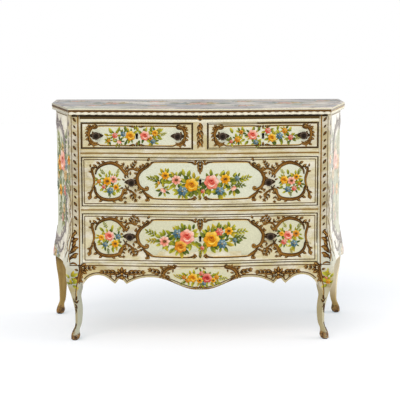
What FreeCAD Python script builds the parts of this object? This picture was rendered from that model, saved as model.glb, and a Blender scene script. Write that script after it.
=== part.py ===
"""Bombe chest of four drawers: a painted commode with a serpentine, swelling front,
canted and swelling sides, a scalloped apron and cabriole legs.

X runs across the front, Y from front to back, Z up. Lengths are in millimetres.
The shapes are built about the case and moved at the end, so that the origin is the
centre of the underside of the whole chest."""
import FreeCAD, Part
import math
import os
from FreeCAD import Vector

# ---- the case in plan ----
FRONT_WIDTH = 946.0          # across the front posts, above the swell
REAR_WIDTH = 1110.0          # across the rear posts, above the swell
CANT_DEPTH = 272.0           # from the front of the posts back to the widest line
STRAIGHT_DEPTH = 165.0       # from the widest line to the back
FRONT_BOW = 34.0             # how far the middle of the front stands ahead of the posts
FRONT_POST_FACE = 36.0       # width of a front post's face
FRONT_POST_DEPTH = 48.0
REAR_POST_WIDTH = 48.0
REAR_POST_DEPTH = 48.0
CANT_ROUNDING = 380.0        # radius where a side turns from canted to straight

# ---- heights ----
CASE_FLOOR = 296.5           # underside of the lowest drawer opening, from the floor
BOTTOM_ROW = 183.0
LOWER_RAIL = 26.0
MIDDLE_ROW = 184.5
UPPER_RAIL = 29.0
TOP_ROW = 98.0
TOP_RAIL = 39.0
TOP_THICKNESS = 14.0

# ---- the swell of front, sides and legs ----
SWELL_START = 440.0          # above this height the walls are plumb
HIP_HEIGHT = 255.0           # height of the fullest part, at the front
REAR_SWELL_START = 415.0
REAR_HIP_HEIGHT = 262.0
FRONT_SWELL = 20.0           # forward, at the hip
FRONT_CORNER_SWELL = 25.0    # sideways, at the front corners
REAR_CORNER_SWELL = 20.0     # sideways, at the rear corners
ANKLE_TOP = 90.0
ANKLE_LOW = 60.0
FRONT_ANKLE = -6.0           # forward sweep at the ankle, against the post
FRONT_CORNER_ANKLE = -5.0
REAR_CORNER_ANKLE = 9.0
FRONT_TOE = 14.0
FRONT_CORNER_TOE = 10.0
REAR_CORNER_TOE = 22.0

# ---- the legs ----
HIP_TURN_TOP = 289.0         # below this height a front post's outer face turns to point sideways
HIP_TURN_LOW = 250.0
HIP_TURN_IN = 4.0            # and its back corner then lies this far inside the front one
POST_END = 235.0             # below this height a post turns into a leg
LEG_START = 150.0            # below this height the leg has its own section
POST_FOOT_BREADTH = 54.0     # breadth of the leg where the post ends
LEG_BREADTH = 34.0
ANKLE_BREADTH = 27.0
WRIST_HEIGHT = 44.0
WRIST_BREADTH = 22.5
TOE_HEIGHT = 15.0
TOE_BREADTH = 33.0
SOLE_BREADTH = 27.0
POST_ARRIS = 4.0             # easing of a post's outer corner
LEG_ARRIS = 6.0              # easing of a leg's corners
INNER_ARRIS = 0.8            # easing of the leg's corners where the post ends
GLIDE_DIAMETER = 20.0
GLIDE_THICKNESS = 4.0

# ---- top, mouldings and boards ----
TOP_FRONT_OVERHANG = 8.0
TOP_CORNER_OVERHANG = 9.0
TOP_SIDE_OVERHANG = 13.0
TOP_BACK_OVERHANG = 3.0
TOP_EDGE_RADIUS = 7.0
MOULDING_INSET = 1.5         # the moulding stands back from the edge of the top by this
MOULDING_DROP = 12.0
SCALLOP_PITCH = 27.5
SCALLOP_RADIUS = 12.0
SCALLOP_DEPTH = 3.0
SIDE_THICKNESS = 18.0
SIDE_REVEAL = 1.0            # the side panels stand inside the posts by this
BACK_THICKNESS = 10.0
BACK_RECESS = 2.0
RAIL_DEPTH = 62.0            # from the face of the posts to the back of the rails
BACK_RAIL_DEPTH = 24.0
BACK_RAIL_HEIGHT = 34.0
DIVIDER_WIDTH = 50.0
DUST_BOARD_THICKNESS = 8.0
RUNNER_THICKNESS = 20.0
RUNNER_REACH = 36.0          # how far a runner reaches in under the drawer
GUIDE_WIDTH = 18.0
GUIDE_HEIGHT = 25.0
STOP_WIDTH = 30.0
STOP_DEPTH = 14.0
STOP_HEIGHT = 5.0
BLOCK_LENGTH = 60.0
BLOCK_SIZE = 18.0
SCREW_DIAMETER = 4.0
SCREW_HEAD = 8.0
SCREW_POCKET = 16.0          # the screw heads are sunk this deep into the rails
SCREW_BITE = 9.0             # how far the screws reach into the top

# ---- apron outline, as half-widths and heights from the floor ----
APRON_THICKNESS = 22.0
APRON_SPRING_HEIGHT = 208.0  # where the outer arch leaves the leg
OUTER_ARCH_X = 377.0
OUTER_ARCH_HEIGHT = 251.0
POINT_X = 316.0
POINT_HEIGHT = 218.0
NOTCH_X = 295.0
NOTCH_HEIGHT = 243.0
INNER_POINT_X = 273.0
INNER_ARCH_X = 184.0
INNER_ARCH_HEIGHT = 246.0
DROP_HEIGHT = 199.0          # the apron's middle
SIDE_ARCH_FRONT = 289.0      # heights of the side panels' arched lower edge
SIDE_ARCH_CROWN = 280.0
SIDE_ARCH_REAR = 244.0

# ---- drawers ----
DRAWER_GAP = 1.5             # round each drawer front
RUNNING_GAP = 0.3            # under the drawer sides, and before the stops
FRONT_THICKNESS = 20.0
DRAWER_SIDE_THICKNESS = 12.0
DRAWER_BACK_THICKNESS = 10.0
DRAWER_BOTTOM_THICKNESS = 7.0
DRAWER_BOTTOM_RISE = 8.0     # underside of the bottom above the side's lower edge
GROOVE_DEPTH = 4.0
DRAWER_END_GAP = 12.0        # behind a closed drawer
SIDE_DROP = 13.0             # the drawer sides stop this far under the opening's top

# ---- knobs and locks ----
KNOB_SPREAD_TOP = 149.0      # knobs either side of the middle of a short drawer
KNOB_SPREAD_MIDDLE = 252.0
KNOB_SPREAD_BOTTOM = 260.0
KNOB_RISE_TOP = 0.0          # above the middle of the drawer
KNOB_RISE_MIDDLE = -1.0
KNOB_RISE_BOTTOM = 7.0
KNOB_DIAMETER = 27.0
KNOB_REACH = 25.0
KNOB_NECK = 9.0
PLATE_LENGTH = 25.0          # of the leaf-shaped backplate, from its middle to its tip
PLATE_WIDTH = 26.0
PLATE_THICKNESS = 2.0
KNOB_SCREW_DIAMETER = 4.0
KEY_RISE_TOP = 4.0           # keyhole above the middle of the drawer
KEY_RISE_MIDDLE = 7.0
KEY_RISE_BOTTOM = 6.0
KEYHOLE_DIAMETER = 5.5
KEYHOLE_SLOT = 2.4
KEYHOLE_LENGTH = 9.0
LOCK_WIDTH = 44.0
LOCK_DEPTH = 10.0
LOCK_FOOT = 22.0             # lock case below the keyhole
BOLT_WIDTH = 14.0
BOLT_THICKNESS = 5.0
BOLT_GAP = 0.3
BOLT_SET_BACK = 0.5          # the lowered bolt lies this far under the drawer's top edge
BOLT_TRAVEL = 7.0
MORTISE_GAP = 1.0

# ---- worked out from the above ----
FRONT_HALF = FRONT_WIDTH / 2
REAR_HALF = REAR_WIDTH / 2
OPENING_HALF = FRONT_HALF - FRONT_POST_FACE
BACK_Y = CANT_DEPTH + STRAIGHT_DEPTH
REAR_POST_Y = BACK_Y - REAR_POST_DEPTH
REAR_POST_X = REAR_HALF - REAR_POST_WIDTH
BACK_PANEL_Y = BACK_Y - BACK_RECESS - BACK_THICKNESS
BACK_RAIL_Y = BACK_PANEL_Y - BACK_RAIL_DEPTH
BOTTOM_ROW_TOP = CASE_FLOOR + BOTTOM_ROW
MIDDLE_ROW_FLOOR = BOTTOM_ROW_TOP + LOWER_RAIL
MIDDLE_ROW_TOP = MIDDLE_ROW_FLOOR + MIDDLE_ROW
TOP_ROW_FLOOR = MIDDLE_ROW_TOP + UPPER_RAIL
TOP_ROW_TOP = TOP_ROW_FLOOR + TOP_ROW
CASE_TOP = TOP_ROW_TOP + TOP_RAIL
HEIGHT = CASE_TOP + TOP_THICKNESS
FAR = 2 * (REAR_WIDTH + HEIGHT)


def ease(t):
    """Smooth step from 0 to 1 with level ends."""
    t = min(max(t, 0.0), 1.0)
    return t * t * (3 - 2 * t)


def blend(a, b, t):
    return a + (b - a) * t


def swept(z, hip, ankle, toe, start=SWELL_START, fullest=HIP_HEIGHT):
    """Outward sweep of a wall or leg at height z."""
    if z >= fullest:
        return hip * ease((start - z) / (start - fullest))
    if z >= ANKLE_LOW:
        return blend(hip, ankle, ease((fullest - z) / (fullest - ANKLE_TOP)))
    return blend(ankle, toe, ease((ANKLE_LOW - z) / (ANKLE_LOW - TOE_HEIGHT)))


def front_face_y(z):
    return -swept(z, FRONT_SWELL, FRONT_ANKLE, FRONT_TOE)


def front_corner_x(z):
    return FRONT_HALF + swept(z, FRONT_CORNER_SWELL, FRONT_CORNER_ANKLE, FRONT_CORNER_TOE)


def rear_corner_x(z):
    sweep = swept(z, REAR_CORNER_SWELL, REAR_CORNER_ANKLE, REAR_CORNER_TOE, REAR_SWELL_START, REAR_HIP_HEIGHT)
    return REAR_HALF + sweep


def leg_breadth(z):
    if z >= LEG_START:
        return blend(LEG_BREADTH, POST_FOOT_BREADTH, ease((z - LEG_START) / (POST_END - LEG_START)))
    if z >= ANKLE_TOP:
        return blend(ANKLE_BREADTH, LEG_BREADTH, (z - ANKLE_TOP) / (LEG_START - ANKLE_TOP))
    if z >= WRIST_HEIGHT:
        return blend(WRIST_BREADTH, ANKLE_BREADTH, ease((z - WRIST_HEIGHT) / (ANKLE_TOP - WRIST_HEIGHT)))
    if z >= TOE_HEIGHT:
        return blend(TOE_BREADTH, WRIST_BREADTH, ease((z - TOE_HEIGHT) / (WRIST_HEIGHT - TOE_HEIGHT)))
    return blend(SOLE_BREADTH, TOE_BREADTH, math.sqrt(max(z - GLIDE_THICKNESS, 0) / (TOE_HEIGHT - GLIDE_THICKNESS)))


def bowed_y(x, z):
    """The serpentine and swelling surface of the front."""
    return front_face_y(z) - FRONT_BOW * ease(1 - abs(x) / OPENING_HALF)


# ---- small builders ----
def box(x0, x1, y0, y1, z0, z1):
    return Part.makeBox(x1 - x0, y1 - y0, z1 - z0, Vector(x0, y0, z0))


def rod(x, y, z, radius, length, direction):
    return Part.makeCylinder(radius, length, Vector(x, y, z), direction)


def mirrored(shape):
    return shape.mirror(Vector(0, 0, 0), Vector(1, 0, 0))


def prism(points, rise):
    """A straight prism on a closed outline of points."""
    corners = [Vector(*p) for p in points]
    return Part.Face(Part.makePolygon(corners + corners[:1])).extrude(Vector(*rise))


def loft(wires):
    return Part.makeLoft(wires, True, False)


def rounded_outline(points, radii, z):
    """A closed outline at height z with an arc at each corner of radius above 0."""
    starts, ends, middles = [], [], []
    count = len(points)
    for i in range(count):
        corner = Vector(points[i][0], points[i][1], z)
        before = Vector(points[i - 1][0], points[i - 1][1], z) - corner
        after = Vector(points[(i + 1) % count][0], points[(i + 1) % count][1], z) - corner
        before.normalize()
        after.normalize()
        half = before.getAngle(after) / 2
        starts.append(corner + before * (radii[i] / math.tan(half)))
        ends.append(corner + after * (radii[i] / math.tan(half)))
        inward = before + after
        inward.normalize()
        middles.append(corner + inward * (radii[i] / math.sin(half) - radii[i]))
    edges = []
    for i in range(count):
        if radii[i] > 0:
            edges.append(Part.Arc(starts[i], middles[i], ends[i]).toShape())
        edges.append(Part.LineSegment(ends[i], starts[(i + 1) % count]).toShape())
    return Part.Wire(edges)


def bevelled_outline(points, bevels, z):
    """A closed outline at height z with a flat cut across each corner of bevel above 0."""
    corners = []
    count = len(points)
    for i in range(count):
        corner = Vector(points[i][0], points[i][1], z)
        if bevels[i] > 0:
            for other in (points[i - 1], points[(i + 1) % count]):
                towards = (Vector(other[0], other[1], z) - corner).normalize()
                corners.append(corner + towards * bevels[i])
        else:
            corners.append(corner)
    return Part.makePolygon(corners + corners[:1])


def bezier(*points):
    curve = Part.BezierCurve()
    curve.setPoles([Vector(*p) for p in points])
    return curve.toShape()


def levels(low, high, step=18.0):
    count = max(2, int(math.ceil((high - low) / step)))
    return [blend(low, high, i / count) for i in range(count + 1)]


def risen(section, low, high):
    """Solid through section(z): a plumb prism above the swell, a loft within it."""
    parts = []
    if high > SWELL_START:
        base = max(low, SWELL_START)
        parts.append(Part.Face(section(base)).extrude(Vector(0, 0, high - base)))
    if low < SWELL_START:
        parts.append(loft([section(z) for z in levels(low, min(high, SWELL_START))]))
    if len(parts) == 1:
        return parts[0]
    return parts[0].fuse(parts[1]).removeSplitter()


# ---- posts with their legs ----
def front_post_corners(z):
    """Inner front, outer front, outer back and inner back corners of the post."""
    face = front_face_y(z)
    outer = front_corner_x(z)
    cant = (rear_corner_x(z) - outer) / (CANT_DEPTH - face)
    back = FRONT_POST_DEPTH
    turned = ease((HIP_TURN_TOP - z) / (HIP_TURN_TOP - HIP_TURN_LOW))
    flare = blend(cant * (back - face), -HIP_TURN_IN, turned)
    return [(OPENING_HALF, face), (outer, face), (outer + flare, back), (OPENING_HALF, back)]


def front_leg_corners(z):
    """The leg stands corner-forward: front, outer, back and inner corners."""
    breadth = leg_breadth(z)
    half = breadth / 2 + LEG_ARRIS * math.sqrt(0.5)
    x = front_corner_x(z) - breadth / 2
    y = front_face_y(z) + breadth / 2
    return [(x, y - half), (x + half, y), (x, y + half), (x - half, y)]


def rear_post_corners(z):
    outer = rear_corner_x(z)
    return [(REAR_POST_X, REAR_POST_Y), (outer, REAR_POST_Y), (outer, BACK_Y), (REAR_POST_X, BACK_Y)]


def rear_leg_corners(z):
    outer = rear_corner_x(z)
    inner, near = outer - leg_breadth(z), BACK_Y - leg_breadth(z)
    return [(inner, near), (outer, near), (outer, BACK_Y), (inner, BACK_Y)]


def leg_outline(post_corners, leg_corners, z):
    """Turns gradually from the post's outline into the leg's own."""
    t = ease((POST_END - z) / (POST_END - LEG_START))
    pairs = zip(post_corners(z), leg_corners(z))
    points = [(blend(p[0], q[0], t), blend(p[1], q[1], t)) for p, q in pairs]
    return bevelled_outline(points, [blend(INNER_ARRIS, LEG_ARRIS, t)] * 4, z)


def post_with_leg(post_corners, leg_corners, arris):
    """Plumb post, swelling hip, and cabriole leg down to the sole, in one piece."""
    def post_outline(z):
        return bevelled_outline(post_corners(z), arris, z)

    upper = risen(post_outline, POST_END, CASE_TOP)
    heights = levels(GLIDE_THICKNESS, TOE_HEIGHT, 4.0)[:-1] + levels(TOE_HEIGHT, ANKLE_LOW, 9.0)[:-1]
    heights += levels(ANKLE_LOW, POST_END, 18.0)
    lower = loft([leg_outline(post_corners, leg_corners, z) for z in heights])
    return upper.fuse(lower)


def foot_centre(leg_corners):
    corners = leg_corners(GLIDE_THICKNESS)
    return sum(x for x, y in corners) / 4, sum(y for x, y in corners) / 4


# ---- side panels ----
def side_outline(z):
    """Plan of the right side panel: canted, then straight, with an easy bend between."""
    face = front_face_y(z)
    wide = rear_corner_x(z) - SIDE_REVEAL
    narrow = front_corner_x(z) - SIDE_REVEAL
    inner = SIDE_THICKNESS
    points = [(narrow, face), (wide, CANT_DEPTH), (wide, BACK_Y),
              (wide - inner, BACK_Y), (wide - inner, CANT_DEPTH), (narrow - inner, face)]
    bend = CANT_ROUNDING
    return rounded_outline(points, [0, bend, 0, 0, bend, 0], z)


def side_panel():
    low = SIDE_ARCH_REAR - 5
    slab = risen(side_outline, low, CASE_TOP)
    slab = slab.common(box(0, FAR, FRONT_POST_DEPTH, REAR_POST_Y, 0, FAR))
    crown_y = blend(FRONT_POST_DEPTH, REAR_POST_Y, 0.45)
    front = Vector(0, FRONT_POST_DEPTH, SIDE_ARCH_FRONT)
    crown = Vector(0, crown_y, SIDE_ARCH_CROWN)
    rear = Vector(0, REAR_POST_Y, SIDE_ARCH_REAR)
    arch = Part.Arc(front, crown, rear).toShape()
    under = [rear, Vector(0, REAR_POST_Y, 0), Vector(0, FRONT_POST_DEPTH, 0), front]
    edges = [arch] + [Part.LineSegment(a, b).toShape() for a, b in zip(under, under[1:])]
    return slab.cut(Part.Face(Part.Wire(edges)).extrude(Vector(FAR, 0, 0)))


# ---- the bowed front ----
def bow_line(z, offset):
    """The serpentine line across the opening at height z, from the left, offset backwards."""
    ends = front_face_y(z) + offset
    third = OPENING_HALF / 3
    left = bezier((-3 * third, ends, z), (-2 * third, ends, z), (-third, ends - FRONT_BOW, z), (0, ends - FRONT_BOW, z))
    right = bezier((0, ends - FRONT_BOW, z), (third, ends - FRONT_BOW, z), (2 * third, ends, z), (3 * third, ends, z))
    return [left, right]


def ahead_of_front(offset):
    """All the space ahead of the front surface, moved backwards by offset."""
    reach = 4 * (FRONT_BOW + FRONT_SWELL)
    margin = FRONT_POST_FACE / 2

    def section(z):
        y = front_face_y(z) + offset
        left, right = -OPENING_HALF, OPENING_HALF
        corners = [Vector(right, y, z), Vector(right + margin, y, z), Vector(right + margin, -reach, z),
                   Vector(left - margin, -reach, z), Vector(left - margin, y, z), Vector(left, y, z)]
        edges = bow_line(z, offset)
        edges += [Part.LineSegment(a, b).toShape() for a, b in zip(corners, corners[1:])]
        return Part.Wire(edges)

    return risen(section, DROP_HEIGHT - 10, HEIGHT)


AIR = ahead_of_front(0)
AIR_AND_FRONT = ahead_of_front(FRONT_THICKNESS)
AIR_AND_APRON = ahead_of_front(APRON_THICKNESS)
AIR_FRONT_AND_GAP = ahead_of_front(FRONT_THICKNESS + RUNNING_GAP)
NEAR = -4 * (FRONT_BOW + FRONT_SWELL) + 20


def rail(low, high):
    return box(-OPENING_HALF, OPENING_HALF, NEAR, RAIL_DEPTH, low, high).cut(AIR)


def half_apron_line(side):
    """Lower edge of the apron from the leg to the middle: arch, point, notch, point, long arch, drop."""
    def curve(*points):
        return bezier(*[(side * x, NEAR, z) for x, z in points])

    rise = OUTER_ARCH_HEIGHT - APRON_SPRING_HEIGHT
    fall = OUTER_ARCH_HEIGHT - POINT_HEIGHT
    wide, narrow = OPENING_HALF - OUTER_ARCH_X, OUTER_ARCH_X - POINT_X
    inner = INNER_POINT_X - INNER_ARCH_X
    climb = INNER_ARCH_HEIGHT - POINT_HEIGHT
    return [
        curve((OPENING_HALF, APRON_SPRING_HEIGHT), (OPENING_HALF - 0.2 * wide, APRON_SPRING_HEIGHT + 0.6 * rise),
              (OUTER_ARCH_X + 0.55 * wide, OUTER_ARCH_HEIGHT), (OUTER_ARCH_X, OUTER_ARCH_HEIGHT)),
        curve((OUTER_ARCH_X, OUTER_ARCH_HEIGHT), (OUTER_ARCH_X - 0.45 * narrow, OUTER_ARCH_HEIGHT),
              (POINT_X + 0.3 * narrow, POINT_HEIGHT + 0.45 * fall), (POINT_X, POINT_HEIGHT)),
        curve((POINT_X, POINT_HEIGHT), (NOTCH_X, NOTCH_HEIGHT)),
        curve((NOTCH_X, NOTCH_HEIGHT), (INNER_POINT_X, POINT_HEIGHT)),
        curve((INNER_POINT_X, POINT_HEIGHT), (INNER_POINT_X - 0.3 * inner, POINT_HEIGHT + 0.6 * climb),
              (INNER_ARCH_X + 0.4 * inner, INNER_ARCH_HEIGHT), (INNER_ARCH_X, INNER_ARCH_HEIGHT)),
        curve((INNER_ARCH_X, INNER_ARCH_HEIGHT), (0.55 * INNER_ARCH_X, INNER_ARCH_HEIGHT),
              (0.42 * INNER_ARCH_X, DROP_HEIGHT), (0, DROP_HEIGHT)),
    ]


def apron():
    edges = half_apron_line(1) + half_apron_line(-1)
    sides = [Vector(x, NEAR, z) for x, z in (
        (-OPENING_HALF, APRON_SPRING_HEIGHT), (-OPENING_HALF, CASE_FLOOR),
        (OPENING_HALF, CASE_FLOOR), (OPENING_HALF, APRON_SPRING_HEIGHT))]
    edges += [Part.LineSegment(a, b).toShape() for a, b in zip(sides, sides[1:])]
    outline = Part.Wire(Part.__sortEdges__(edges))
    slab = Part.Face(outline).extrude(Vector(0, APRON_THICKNESS - NEAR, 0))
    return slab.common(AIR_AND_APRON).cut(AIR)


# ---- the top and its moulding ----
def top_outline(inset, z):
    """Plan of the top: serpentine front, canted corners, straight back."""
    front = -TOP_FRONT_OVERHANG
    corner_x = FRONT_HALF + TOP_CORNER_OVERHANG - inset
    side_x = REAR_HALF + TOP_SIDE_OVERHANG - inset
    turn_y = CANT_DEPTH + TOP_SIDE_OVERHANG
    back_y = BACK_Y + TOP_BACK_OVERHANG
    corners = [(OPENING_HALF, front + inset), (corner_x, front + inset), (side_x, turn_y), (side_x, back_y),
               (-side_x, back_y), (-side_x, turn_y), (-corner_x, front + inset), (-OPENING_HALF, front + inset)]
    points = [Vector(x, y, z) for x, y in corners]
    edges = bow_line(z, front + inset)
    edges += [Part.LineSegment(a, b).toShape() for a, b in zip(points, points[1:])]
    return Part.Wire(edges)


def top_board():
    slab = Part.Face(top_outline(0, CASE_TOP)).extrude(Vector(0, 0, TOP_THICKNESS))
    upper = [e for e in slab.Edges
             if e.BoundBox.ZMin > HEIGHT - 0.1 and e.CenterOfMass.y < BACK_Y]
    return slab.makeFillet(TOP_EDGE_RADIUS, upper)


def scallop_cutters(start, end, count):
    """Round bars across the moulding's lower edge, spaced evenly from start to end."""
    along = (end - start).normalize()
    across = Vector(-along.y, along.x, 0)
    z = CASE_TOP - MOULDING_DROP - SCALLOP_RADIUS + SCALLOP_DEPTH
    reach = 2 * (FRONT_BOW + TOP_SIDE_OVERHANG)
    bars = []
    for i in range(count):
        at = start + (end - start) * ((i + 0.5) / count)
        bars.append(rod(at.x - across.x * reach, at.y - across.y * reach, z, SCALLOP_RADIUS, 2 * reach, across))
    return bars


def edge_moulding():
    """Scalloped strip under the overhang: a front length and two sides, mitred."""
    base = CASE_TOP - MOULDING_DROP
    outer = Part.Face(top_outline(MOULDING_INSET, base)).extrude(Vector(0, 0, MOULDING_DROP))
    turn = CANT_DEPTH
    case = [(-FRONT_HALF, 0, base), (FRONT_HALF, 0, base), (REAR_HALF, turn, base), (REAR_HALF, FAR, base),
            (-REAR_HALF, FAR, base), (-REAR_HALF, turn, base)]
    ring = outer.cut([prism(case, (0, 0, MOULDING_DROP)), rail(base, CASE_TOP)])
    flare = TOP_CORNER_OVERHANG / TOP_FRONT_OVERHANG
    far = 10 * TOP_FRONT_OVERHANG
    wedge = prism([(-FRONT_HALF, 0, 0), (FRONT_HALF, 0, 0), (FRONT_HALF + flare * far, -far, 0),
                   (-FRONT_HALF - flare * far, -far, 0)], (0, 0, HEIGHT))
    front = ring.common(wedge)
    count = int(FRONT_WIDTH / SCALLOP_PITCH)
    bars = scallop_cutters(Vector(-FRONT_HALF, 0, 0), Vector(FRONT_HALF, 0, 0), count)
    front = front.cut(bars)
    side = ring.cut(wedge).common(box(0, FAR, NEAR, BACK_Y, 0, FAR))
    cant_start, cant_end = Vector(FRONT_HALF, 0, 0), Vector(REAR_HALF, turn, 0)
    count = int((cant_end - cant_start).Length / SCALLOP_PITCH)
    bars = scallop_cutters(cant_start, cant_end, count)
    side_end = Vector(REAR_HALF, BACK_Y, 0)
    bars += scallop_cutters(cant_end, side_end, int(STRAIGHT_DEPTH / SCALLOP_PITCH))
    side = side.cut(bars)
    return front, side, mirrored(side)


# ---- drawers, with their knobs and locks ----
AIR_AND_GROOVE = ahead_of_front(FRONT_THICKNESS - GROOVE_DEPTH)
AIR_BUT_PLATE = ahead_of_front(-PLATE_THICKNESS)
DRAWER_END = BACK_PANEL_Y - DRAWER_END_GAP


def knob_screw(x, z):
    """Head against the back of the drawer front, shank through into the knob."""
    inside = bowed_y(x, z) + FRONT_THICKNESS
    radius = KNOB_SCREW_DIAMETER / 2
    shank = rod(x, inside, z, radius, FRONT_THICKNESS + PLATE_THICKNESS + KNOB_NECK, Vector(0, -1, 0))
    return shank.fuse(rod(x, inside, z, 2 * radius, radius, Vector(0, 1, 0)))


def knob(x, z):
    """A turned bud on a narrow neck, seated on its backplate."""
    root = bowed_y(x, z) - PLATE_THICKNESS
    wide, neck = KNOB_DIAMETER / 2, KNOB_NECK / 2
    collar, belly = 0.14 * KNOB_REACH, 0.6 * KNOB_REACH
    seat = PLATE_THICKNESS
    profile = [Vector(0, -KNOB_REACH, 0), Vector(0, seat, 0), Vector(0.7 * wide, seat, 0),
               Vector(0.7 * wide, -0.5 * collar, 0), Vector(neck, -2 * collar, 0)]
    edges = [Part.LineSegment(a, b).toShape() for a, b in zip(profile, profile[1:])]
    edges.append(bezier((neck, -2 * collar, 0), (wide, -2 * collar, 0), (wide, -0.9 * belly, 0), (wide, -belly, 0)))
    edges.append(bezier((wide, -belly, 0), (wide, -0.85 * KNOB_REACH, 0), (0.4 * wide, -KNOB_REACH, 0),
                        (0, -KNOB_REACH, 0)))
    turned = Part.Face(Part.Wire(edges)).revolve(Vector(0, 0, 0), Vector(0, 1, 0), 360)
    turned.translate(Vector(x, root, z))
    return turned.common(AIR_BUT_PLATE)


def backplate(x, z):
    """A thin leaf, pointed at both ends, bent to the drawer front."""
    tips = [Vector(x - PLATE_LENGTH, NEAR, z), Vector(x + PLATE_LENGTH, NEAR, z)]
    brow, chin = Vector(x, NEAR, z + PLATE_WIDTH / 2), Vector(x, NEAR, z - PLATE_WIDTH / 2)
    edges = [Part.Arc(tips[0], brow, tips[1]).toShape(), Part.Arc(tips[1], chin, tips[0]).toShape()]
    leaf = Part.Face(Part.Wire(edges)).extrude(Vector(0, -NEAR, 0))
    return leaf.common(AIR).cut(AIR_BUT_PLATE)


def keyhole(x, z, depth):
    radius = KEYHOLE_DIAMETER / 2
    slot = box(x - KEYHOLE_SLOT / 2, x + KEYHOLE_SLOT / 2, NEAR, depth, z - KEYHOLE_LENGTH, z)
    return rod(x, NEAR, z, radius, depth - NEAR, Vector(0, 1, 0)).fuse(slot)


def lock_face(x, key_z):
    """How far back the face of the lock case lies, let into the drawer front."""
    return bowed_y(x, key_z) + 0.6 * FRONT_THICKNESS


def bolt_space(x, key_z, low, high, gap):
    """The bolt's own room, widened by gap all round."""
    half = BOLT_WIDTH / 2 + gap
    middle = lock_face(x, key_z) + LOCK_DEPTH / 2
    thick = BOLT_THICKNESS / 2 + gap
    return box(x - half, x + half, middle - thick, middle + thick, low, high)


def lock_case(x, key_z, top):
    face = lock_face(x, key_z)
    case = box(x - LOCK_WIDTH / 2, x + LOCK_WIDTH / 2, face, face + LOCK_DEPTH, key_z - LOCK_FOOT, top)
    channel = bolt_space(x, key_z, key_z - BOLT_GAP, top, BOLT_GAP)
    return case.cut([channel, keyhole(x, key_z, face + LOCK_DEPTH / 2)])


def bolt_mortise(x, key_z, above):
    """Room in the rail above for the raised bolt."""
    depth = BOLT_TRAVEL - DRAWER_GAP - BOLT_SET_BACK + MORTISE_GAP
    return bolt_space(x, key_z, above, above + depth, MORTISE_GAP)


def drawer(name, row, start, end, floor, height, knob_spread, knob_rise, key_rise):
    """All the pieces of one drawer, between start and end across its opening."""
    left, right = start + DRAWER_GAP, end - DRAWER_GAP
    low, high = floor + DRAWER_GAP, floor + height - DRAWER_GAP
    centre, middle = (start + end) / 2, floor + height / 2
    side_low, side_high = floor + RUNNING_GAP, floor + height - SIDE_DROP
    bottom_low = side_low + DRAWER_BOTTOM_RISE
    bottom_high = bottom_low + DRAWER_BOTTOM_THICKNESS
    inner_left, inner_right = left + DRAWER_SIDE_THICKNESS, right - DRAWER_SIDE_THICKNESS

    bottom = box(inner_left - GROOVE_DEPTH, inner_right + GROOVE_DEPTH, NEAR, DRAWER_END, bottom_low, bottom_high)
    bottom = bottom.cut(AIR_AND_GROOVE)
    sides = [box(x, x + DRAWER_SIDE_THICKNESS, NEAR, DRAWER_END, side_low, side_high)
             for x in (left, inner_right)]
    sides = [side.cut([AIR_AND_FRONT, bottom]) for side in sides]
    back_y = DRAWER_END - DRAWER_BACK_THICKNESS
    back = box(inner_left, inner_right, back_y, DRAWER_END, bottom_high, side_high - GROOVE_DEPTH)

    key_z = middle + key_rise
    case = lock_case(centre, key_z, high)
    bolt = bolt_space(centre, key_z, key_z, high - BOLT_SET_BACK, 0)
    lock_body = box(centre - LOCK_WIDTH / 2, centre + LOCK_WIDTH / 2, lock_face(centre, key_z), RAIL_DEPTH,
                    key_z - LOCK_FOOT, high)
    places = [(centre - knob_spread, middle + knob_rise), (centre + knob_spread, middle + knob_rise)]
    screws = [knob_screw(x, z) for x, z in places]
    front = box(left, right, NEAR, RAIL_DEPTH, low, high).common(AIR_AND_FRONT).cut(AIR)
    front = front.cut([bottom, lock_body, keyhole(centre, key_z, lock_face(centre, key_z))] + screws)
    hardware = []
    for (x, z), screw in zip(places, screws):
        hardware += [knob(x, z).cut(screw), backplate(x, z).cut(screw), screw]
    return {
        name + "_drawer_front": [front],
        name + "_drawer_left_side": [sides[0]],
        name + "_drawer_right_side": [sides[1]],
        name + "_drawer_back": [back],
        name + "_drawer_bottom": [bottom],
        name + "_drawer_knobs": hardware,
        name + "_drawer_lock": [case],
        name + "_drawer_bolt": [bolt],
    }, bolt_mortise(centre, key_z, floor + height)


# ---- the inside of the carcass ----
def runner(floor, rear):
    return box(OPENING_HALF - RUNNER_REACH, OPENING_HALF + GUIDE_WIDTH, RAIL_DEPTH, rear,
               floor - RUNNER_THICKNESS, floor)


def guide(floor):
    return box(OPENING_HALF, OPENING_HALF + GUIDE_WIDTH, FRONT_POST_DEPTH, BACK_PANEL_Y, floor, floor + GUIDE_HEIGHT)


def dust_board(start, end, floor, rear):
    low = floor - (RUNNER_THICKNESS + DUST_BOARD_THICKNESS) / 2
    return box(start, end, RAIL_DEPTH, rear, low, low + DUST_BOARD_THICKNESS)


def centre_runner():
    half = DIVIDER_WIDTH / 2
    bar = box(-half - RUNNER_REACH, half + RUNNER_REACH, RAIL_DEPTH, BACK_PANEL_Y,
              TOP_ROW_FLOOR - RUNNER_THICKNESS, TOP_ROW_FLOOR)
    return bar.fuse(box(-half, half, RAIL_DEPTH, BACK_PANEL_Y, TOP_ROW_FLOOR, TOP_ROW_FLOOR + GUIDE_HEIGHT))


def kickers():
    low, high = TOP_ROW_TOP, TOP_ROW_TOP + RUNNER_THICKNESS
    side = box(OPENING_HALF - RUNNER_REACH, OPENING_HALF + GUIDE_WIDTH, RAIL_DEPTH, BACK_RAIL_Y, low, high)
    half = DIVIDER_WIDTH / 2 + RUNNER_REACH
    return [side, mirrored(side), box(-half, half, RAIL_DEPTH, BACK_RAIL_Y, low, high)]


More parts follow.
